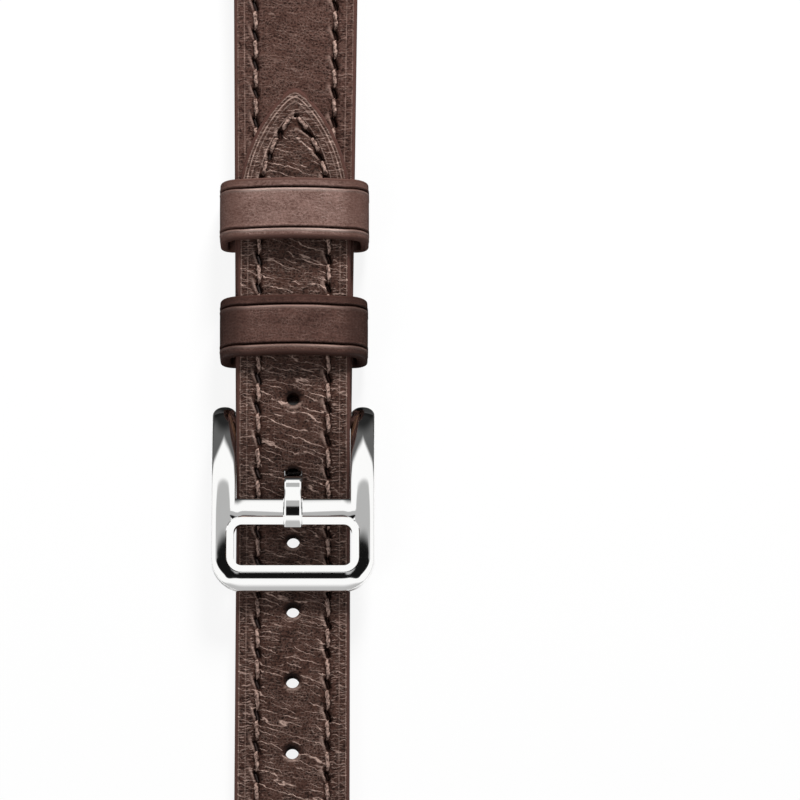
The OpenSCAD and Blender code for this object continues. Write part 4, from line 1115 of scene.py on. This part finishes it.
def wrinkledLeather(name, look):
    # A net of fine light lines over a mottled ground, creases across, folds on a slant, cracks in the
    # margins; the light lines are partly the leather's lighter creases and partly painted highlight along
    # them
    s = Surface(name)
    place = s.place()
    inset = paintedShading = edge = 0.0
    if look["marked"]:
        marks = s.node("UVMap", {"uv_map": "relief"}, {})
        inset, paintedShading = s.part(marks, 0), s.part(marks, 1)
        edge = s.ramp(inset, 0.3, 0.45, 1.0, 0.0)
    shaken = s.shaken(place, s.noise(place, 1300, 3, 0.6, output=1), 0.6 * mm)

    def drawnOut(size, stretch, turn):
        # The place in cells of this size, drawn out across the strap and turned
        return s.node("Mapping", {"vector_type": "TEXTURE"}, {
            "Vector": shaken, "Rotation": (0, 0, radians(turn)), "Scale": (size * stretch, size, size)})

    def patches(size, stretch, low, high, turn=0.0):
        return s.ramp(s.noise(drawnOut(size, stretch, turn), 1.0, 2, 0.5), low, high)

    def wrinkles(size, stretch, sway, width, turn):
        # Wavy lines side by side, a size apart where they don't sway
        cells = drawnOut(size, stretch, turn)
        level = s.part(cells, 1) + s.noise(cells, 0.6, 3, 0.5) * sway
        return s.line(s.math("PINGPONG", level, 0.5), width)

    def mesh(size, width, wander):
        # A net of lines round small cells
        moved = s.shaken(place, s.noise(place, 0.55 / size, 4, 0.62, output=1), wander)
        away = s.node("TexVoronoi", {"feature": "DISTANCE_TO_EDGE", "voronoi_dimensions": "2D"},
                      {"Vector": moved, "Scale": 1 / size})
        return s.line(away, width / size)

    patch = s.noise(place, 240, 3, 0.55)
    broken = s.noise(place, 750, 2, 0.5)
    netLines = mesh(**net) * s.ramp(broken, 0.36, 0.62, 0.2, 1.0)
    fine = wrinkles(**wavyLines["fine"]) * patches(0.7 * mm, 1.6, 0.45, 0.56)
    fine = fine * s.ramp(patch, 0.4, 0.55, 0.4, 1.0)
    folds = wrinkles(**wavyLines["folds"]) * patches(1.2 * mm, 2.2, 0.43, 0.52, -16)
    lines = netLines * look["net"] + fine * look["fine"] + folds * look["folds"]
    if look["cracks"]:
        margin = s.ramp(inset, 2.5, 2.1) * s.ramp(inset, 0.4, 0.6)
        cracks = wrinkles(**wavyLines["cracks"]) * margin * patches(0.5 * mm, 1.6, 0.43, 0.54)
        lines = lines * (1 - margin * 0.6) + cracks * look["cracks"]
        along, pointStart = s.part(place, 1), yAt(pointU) + rowShift
        onPoint = s.ramp(along, pointStart, pointStart + 3 * mm)
        # Painted highlight lines along the rounded edge and the creases
        for at, width, strength in look["rims"]:
            rim = s.line(s.math("ABSOLUTE", inset - at), width, strength)
            rim = rim * s.ramp(broken, 0.35, 0.6, 0.35, 1.0)
            lines = lines + (rim if at in plainRims else rim * onPoint)
    # The painted highlights of the marks join the light lines, away from the painted edge
    if look["marked"]:
        lines = lines * (1 - edge) + paintedShading * 0.9
    mottle = s.noise(s.node("Mapping", {}, {"Vector": place, "Scale": (0.75, 1.0, 1.0)}), 3900, 3, 0.7)
    cloud = patches(1.7 * mm, 2, 0.3, 0.7)
    grain = s.ramp(mottle, 0.48 - look["soft"], 0.48 + look["soft"])
    tone = s.blendColours(grain + cloud * 0.34 - 0.17, look["dark"], look["plain"])
    if look["marked"]:
        tone = s.blendColours(edge, tone, look["edge"])
        # Painted shade where the marks are negative
        tone = s.blendColours(0.0 - paintedShading, tone, paintedShadeColour)
    colour = s.blendColours(lines, tone, look["light"])
    # Painted shade towards the keepers' ends, where they turn down round the straps
    if look["sides"]:
        across = s.math("ABSOLUTE", s.part(place, 0))
        colour = s.blendColours(s.ramp(across, *sideShade, 0.0, look["sides"]), colour, look["dark"])
    height = mottle * 0.55 + lines * 0.6 + s.noise(place, 6000, 2, 0.6) * 0.2
    rough = look["roughness"]
    s.set(Base_Color=colour, Normal=s.bumps(height, 0.8, 0.14 * mm), Specular_IOR_Level=look["gloss"],
          Roughness=s.ramp(mottle, 0.3, 0.7, rough + 0.12, rough))
    return s.material


def paintedEdge():
    s = Surface("paintedEdge")
    place = s.place()
    tone = s.blendColours(s.noise(place, 600, 3, 0.5), linear(58, 36, 31), linear(96, 64, 56))
    s.set(Base_Color=tone, Roughness=0.38, Normal=s.bumps(s.noise(place, 2200, 3, 0.6), 0.35, 0.1 * mm))
    return s.material


def waxedThread():
    s = Surface("waxedThread")
    fibre = s.noise(s.place(), 3500, 3, 0.6)
    tone = s.blendColours(s.ramp(fibre, 0.35, 0.62), linear(66, 44, 37), linear(176, 148, 136))
    s.set(Base_Color=tone, Roughness=0.45, Normal=s.bumps(fibre, 0.4, 0.08 * mm))
    return s.material


def plainFinish(name, colour, **values):
    s = Surface(name)
    s.set(Base_Color=colour, **values)
    return s.material


print("finishes")
# Rims are painted highlights along the edge and the creases, as (distance from it in mm, width, strength),
# most on the point only
creaseRim, edgeRim = relief["creaseInset"] / mm, 0.48
plainRims = creaseRim, edgeRim
sewnLook = {"marked": True, "soft": 0.11, "sides": 0.0, "roughness": 0.45, "gloss": 0.1}
keeperLook = {"marked": True, "soft": 0.26, "net": 0.12, "fine": 0.2, "folds": 0.0, "cracks": 0.0,
              "sides": 0.7, "roughness": 0.4, "gloss": 0.18}
leatherLooks = {
    "shortLeather": {
        **sewnLook, "dark": linear(32, 17, 13), "plain": linear(83, 59, 52), "light": linear(172, 144, 133),
        "edge": linear(84, 58, 52), "net": 0.16, "fine": 0.26, "folds": 0.15, "cracks": 0.34,
        "rims": ((creaseRim, 0.12, 0.35), (edgeRim, 0.1, 0.3))},
    "tailLeather": {
        **sewnLook, "dark": linear(26, 14, 10), "plain": linear(71, 49, 42), "light": linear(190, 162, 150),
        "edge": linear(80, 55, 49), "net": 0.14, "fine": 0.36, "folds": 0.85, "cracks": 0.52,
        "rims": ((creaseRim, 0.12, 0.25), (edgeRim, 0.1, 0.35), (0.14, 0.16, 0.65), (0.85, 0.13, 0.65),
                 (2.15, 0.13, 0.45))},
    "fixedLeather": {
        **keeperLook, "dark": linear(46, 28, 23), "plain": linear(88, 62, 55), "light": linear(168, 140, 130),
        "edge": linear(66, 44, 38)},
    "looseLeather": {
        **keeperLook, "dark": linear(82, 57, 50), "plain": linear(134, 106, 98),
        "light": linear(200, 176, 166), "edge": linear(92, 66, 59)},
    "liningLeather": {
        "dark": linear(92, 62, 46), "plain": linear(122, 86, 64), "light": linear(150, 112, 88),
        "marked": False, "soft": 0.14, "net": 0.2, "fine": 0.1, "folds": 0.0, "cracks": 0.0, "sides": 0.0,
        "roughness": 0.6, "gloss": 0.25},
}
leathers = {name: wrinkledLeather(name, look) for name, look in leatherLooks.items()}
edgePaint = paintedEdge()
punchedEdge = plainFinish("punchedEdge", linear(30, 17, 13), Roughness=0.8, Specular_IOR_Level=0.1)
threadWax = waxedThread()
polishedSteel = plainFinish("polishedSteel", (0.96, 0.96, 0.9504, 1), Metallic=1.0, Roughness=0.05)
turnedSteel = plainFinish("turnedSteel", (0.62, 0.62, 0.6138, 1), Metallic=1.0, Roughness=0.28)

print("short strap")
makeShortFace(leathers["shortLeather"], edgePaint)
makeShortCore(edgePaint)
makeShortLining(leathers["liningLeather"])
makeShortThread(threadWax)
print("tail strap")
makeTailFace(leathers["tailLeather"], edgePaint)
makeTailCore(edgePaint)
makeTailLining(leathers["liningLeather"])
makeTailThread(threadWax)
print("keepers")
makeKeeper("fixedKeeper", leathers["fixedLeather"])
makeKeeper("looseKeeper", leathers["looseLeather"])
print("buckle")
makeBuckleFrame(polishedSteel)
makeTongue(polishedSteel)

# The spring bars keep the part's own meshes
for nodeName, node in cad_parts.items():
    if "_bar_" in nodeName:
        node.data.materials.clear()
        node.data.materials.append(turnedSteel)

print("stage")
camera = {"reach": 0.7, "aim": (0.01312, 0.0034, 0.0025), "elevation": 75.2, "pixelsPerMetre": 8100,
          "pixels": 800, "sensor": 36}
studio = {"world": 0.26, "floor": 0.9, "floorSize": 0.6, "floorHeight": -0.26 * mm, "whiteSeen": 0.88,
          "whiteMirrored": 0.1, "darkMirrored": 0.95, "darkFrom": 1 * mm, "darkTo": 5 * mm,
          "overhead": 0.54, "darkSpot": (0, -0.174, 0.985)}
lamps = {"key": {"place": (0.1, 0.48, 0.27), "size": 0.16, "power": 4.6},
         "fill": {"place": (-0.3, -0.3, 0.4), "size": 0.3, "power": 0.92}}


def makeCamera():
    data = bpy.data.cameras.new("camera")
    data.lens = camera["sensor"] * camera["pixelsPerMetre"] / camera["pixels"] * camera["reach"]
    data.clip_start = 0.01
    made = bpy.data.objects.new("camera", data)
    bpy.context.scene.collection.objects.link(made)
    bpy.context.scene.camera = made
    up = radians(camera["elevation"])
    made.location = Vector(camera["aim"]) + camera["reach"] * Vector((0, -cos(up), sin(up)))
    made.rotation_euler = (pi / 2 - up, 0, 0)


def makeFloor():
    bm = bmesh.new()
    bmesh.ops.create_grid(bm, x_segments=1, y_segments=1, size=studio["floorSize"])
    bmesh.ops.translate(bm, verts=bm.verts, vec=(0, 0, studio["floorHeight"]))
    s = Surface("paperFloor")
    shade = studio["floor"]
    isCamera, isGlossy = s.ray("Camera"), s.ray("Glossy")
    s.set(Base_Color=(shade, shade, shade, 1), Roughness=0.9, Specular_IOR_Level=0.1)
    # The floor glows white to the camera and a little in reflections, and beyond darkFrom it shows dark to
    # glossy rays only: a painted dark reflection in the polished steel
    dark = isGlossy * s.ramp(s.part(s.place(), 1), studio["darkFrom"], studio["darkTo"])
    glow, black = (s.node("Emission", {}, {"Color": (v, v, v, 1), "Strength": 1.0}) for v in (1, 0))
    shown = s.node("MixShader", {}, {0: dark, 1: glow, 2: black})
    lit = s.math("MAXIMUM", isCamera * studio["whiteSeen"], isGlossy * studio["whiteMirrored"])
    share = s.math("MAXIMUM", lit, dark * studio["darkMirrored"])
    mixed = s.node("MixShader", {}, {0: share, 1: Wire(s, s.shader.outputs[0]), 2: shown})
    s.join(mixed, s.tree.nodes["Material Output"].inputs["Surface"])
    finish(bm, "paperFloor", [s.material])


def makeWorld():
    # White all round for the camera; polished metal also meets the dark places of a studio
    world = bpy.data.worlds.new("studio")
    bpy.context.scene.world = world
    world.use_nodes = True
    s = Nodes(world.node_tree)
    direction = s.place("Generated")
    x, y, z = (s.part(direction, k) for k in range(3))
    toward = s.node("VectorMath", {"operation": "DOT_PRODUCT"}, {0: direction, 1: studio["darkSpot"]}, 1)
    spot = s.ramp(toward, 0.962, 0.978) * 0.985
    overhead = s.ramp(z, 0.953, 0.966) * studio["overhead"]
    horizon = s.ramp(y + s.math("ABSOLUTE", x) * 0.5, 0.66, 0.8) * 0.88 + s.ramp(y, 0.75, 0.9) * 0.1
    horizon = horizon * s.ramp(y, 0.2, 0.36)
    front = s.ramp(y, -0.62, -0.75) * 0.5
    low = s.ramp(z, 0.3, 0.12) * 0.5
    mirror = (1 - overhead) * (1 - horizon) * (1 - spot) * (1 - front) * (1 - low)
    isCamera, isGlossy = s.ray("Camera"), s.ray("Glossy")
    plain = isCamera + (1 - isCamera) * studio["world"]
    shader = s.tree.nodes["Background"]
    s.join(isGlossy * mirror + (1 - isGlossy) * plain, shader.inputs["Color"])
    s.join(1.0, shader.inputs["Strength"])


def makeLamp(name, place, size, power):
    # A soft round lamp aimed at the object, which its polished metal doesn't mirror
    data = bpy.data.lights.new(name, "AREA")
    data.shape = "DISK"
    data.size = size
    data.energy = power
    lamp = bpy.data.objects.new(name, data)
    bpy.context.scene.collection.objects.link(lamp)
    lamp.visible_glossy = False
    lamp.location = place
    lamp.rotation_euler = (-Vector(place)).to_track_quat("-Z", "Y").to_euler()


makeCamera()
makeFloor()
makeWorld()
for lampName, values in lamps.items():
    makeLamp(lampName, **values)
bpy.context.scene.view_settings.view_transform = "Standard"
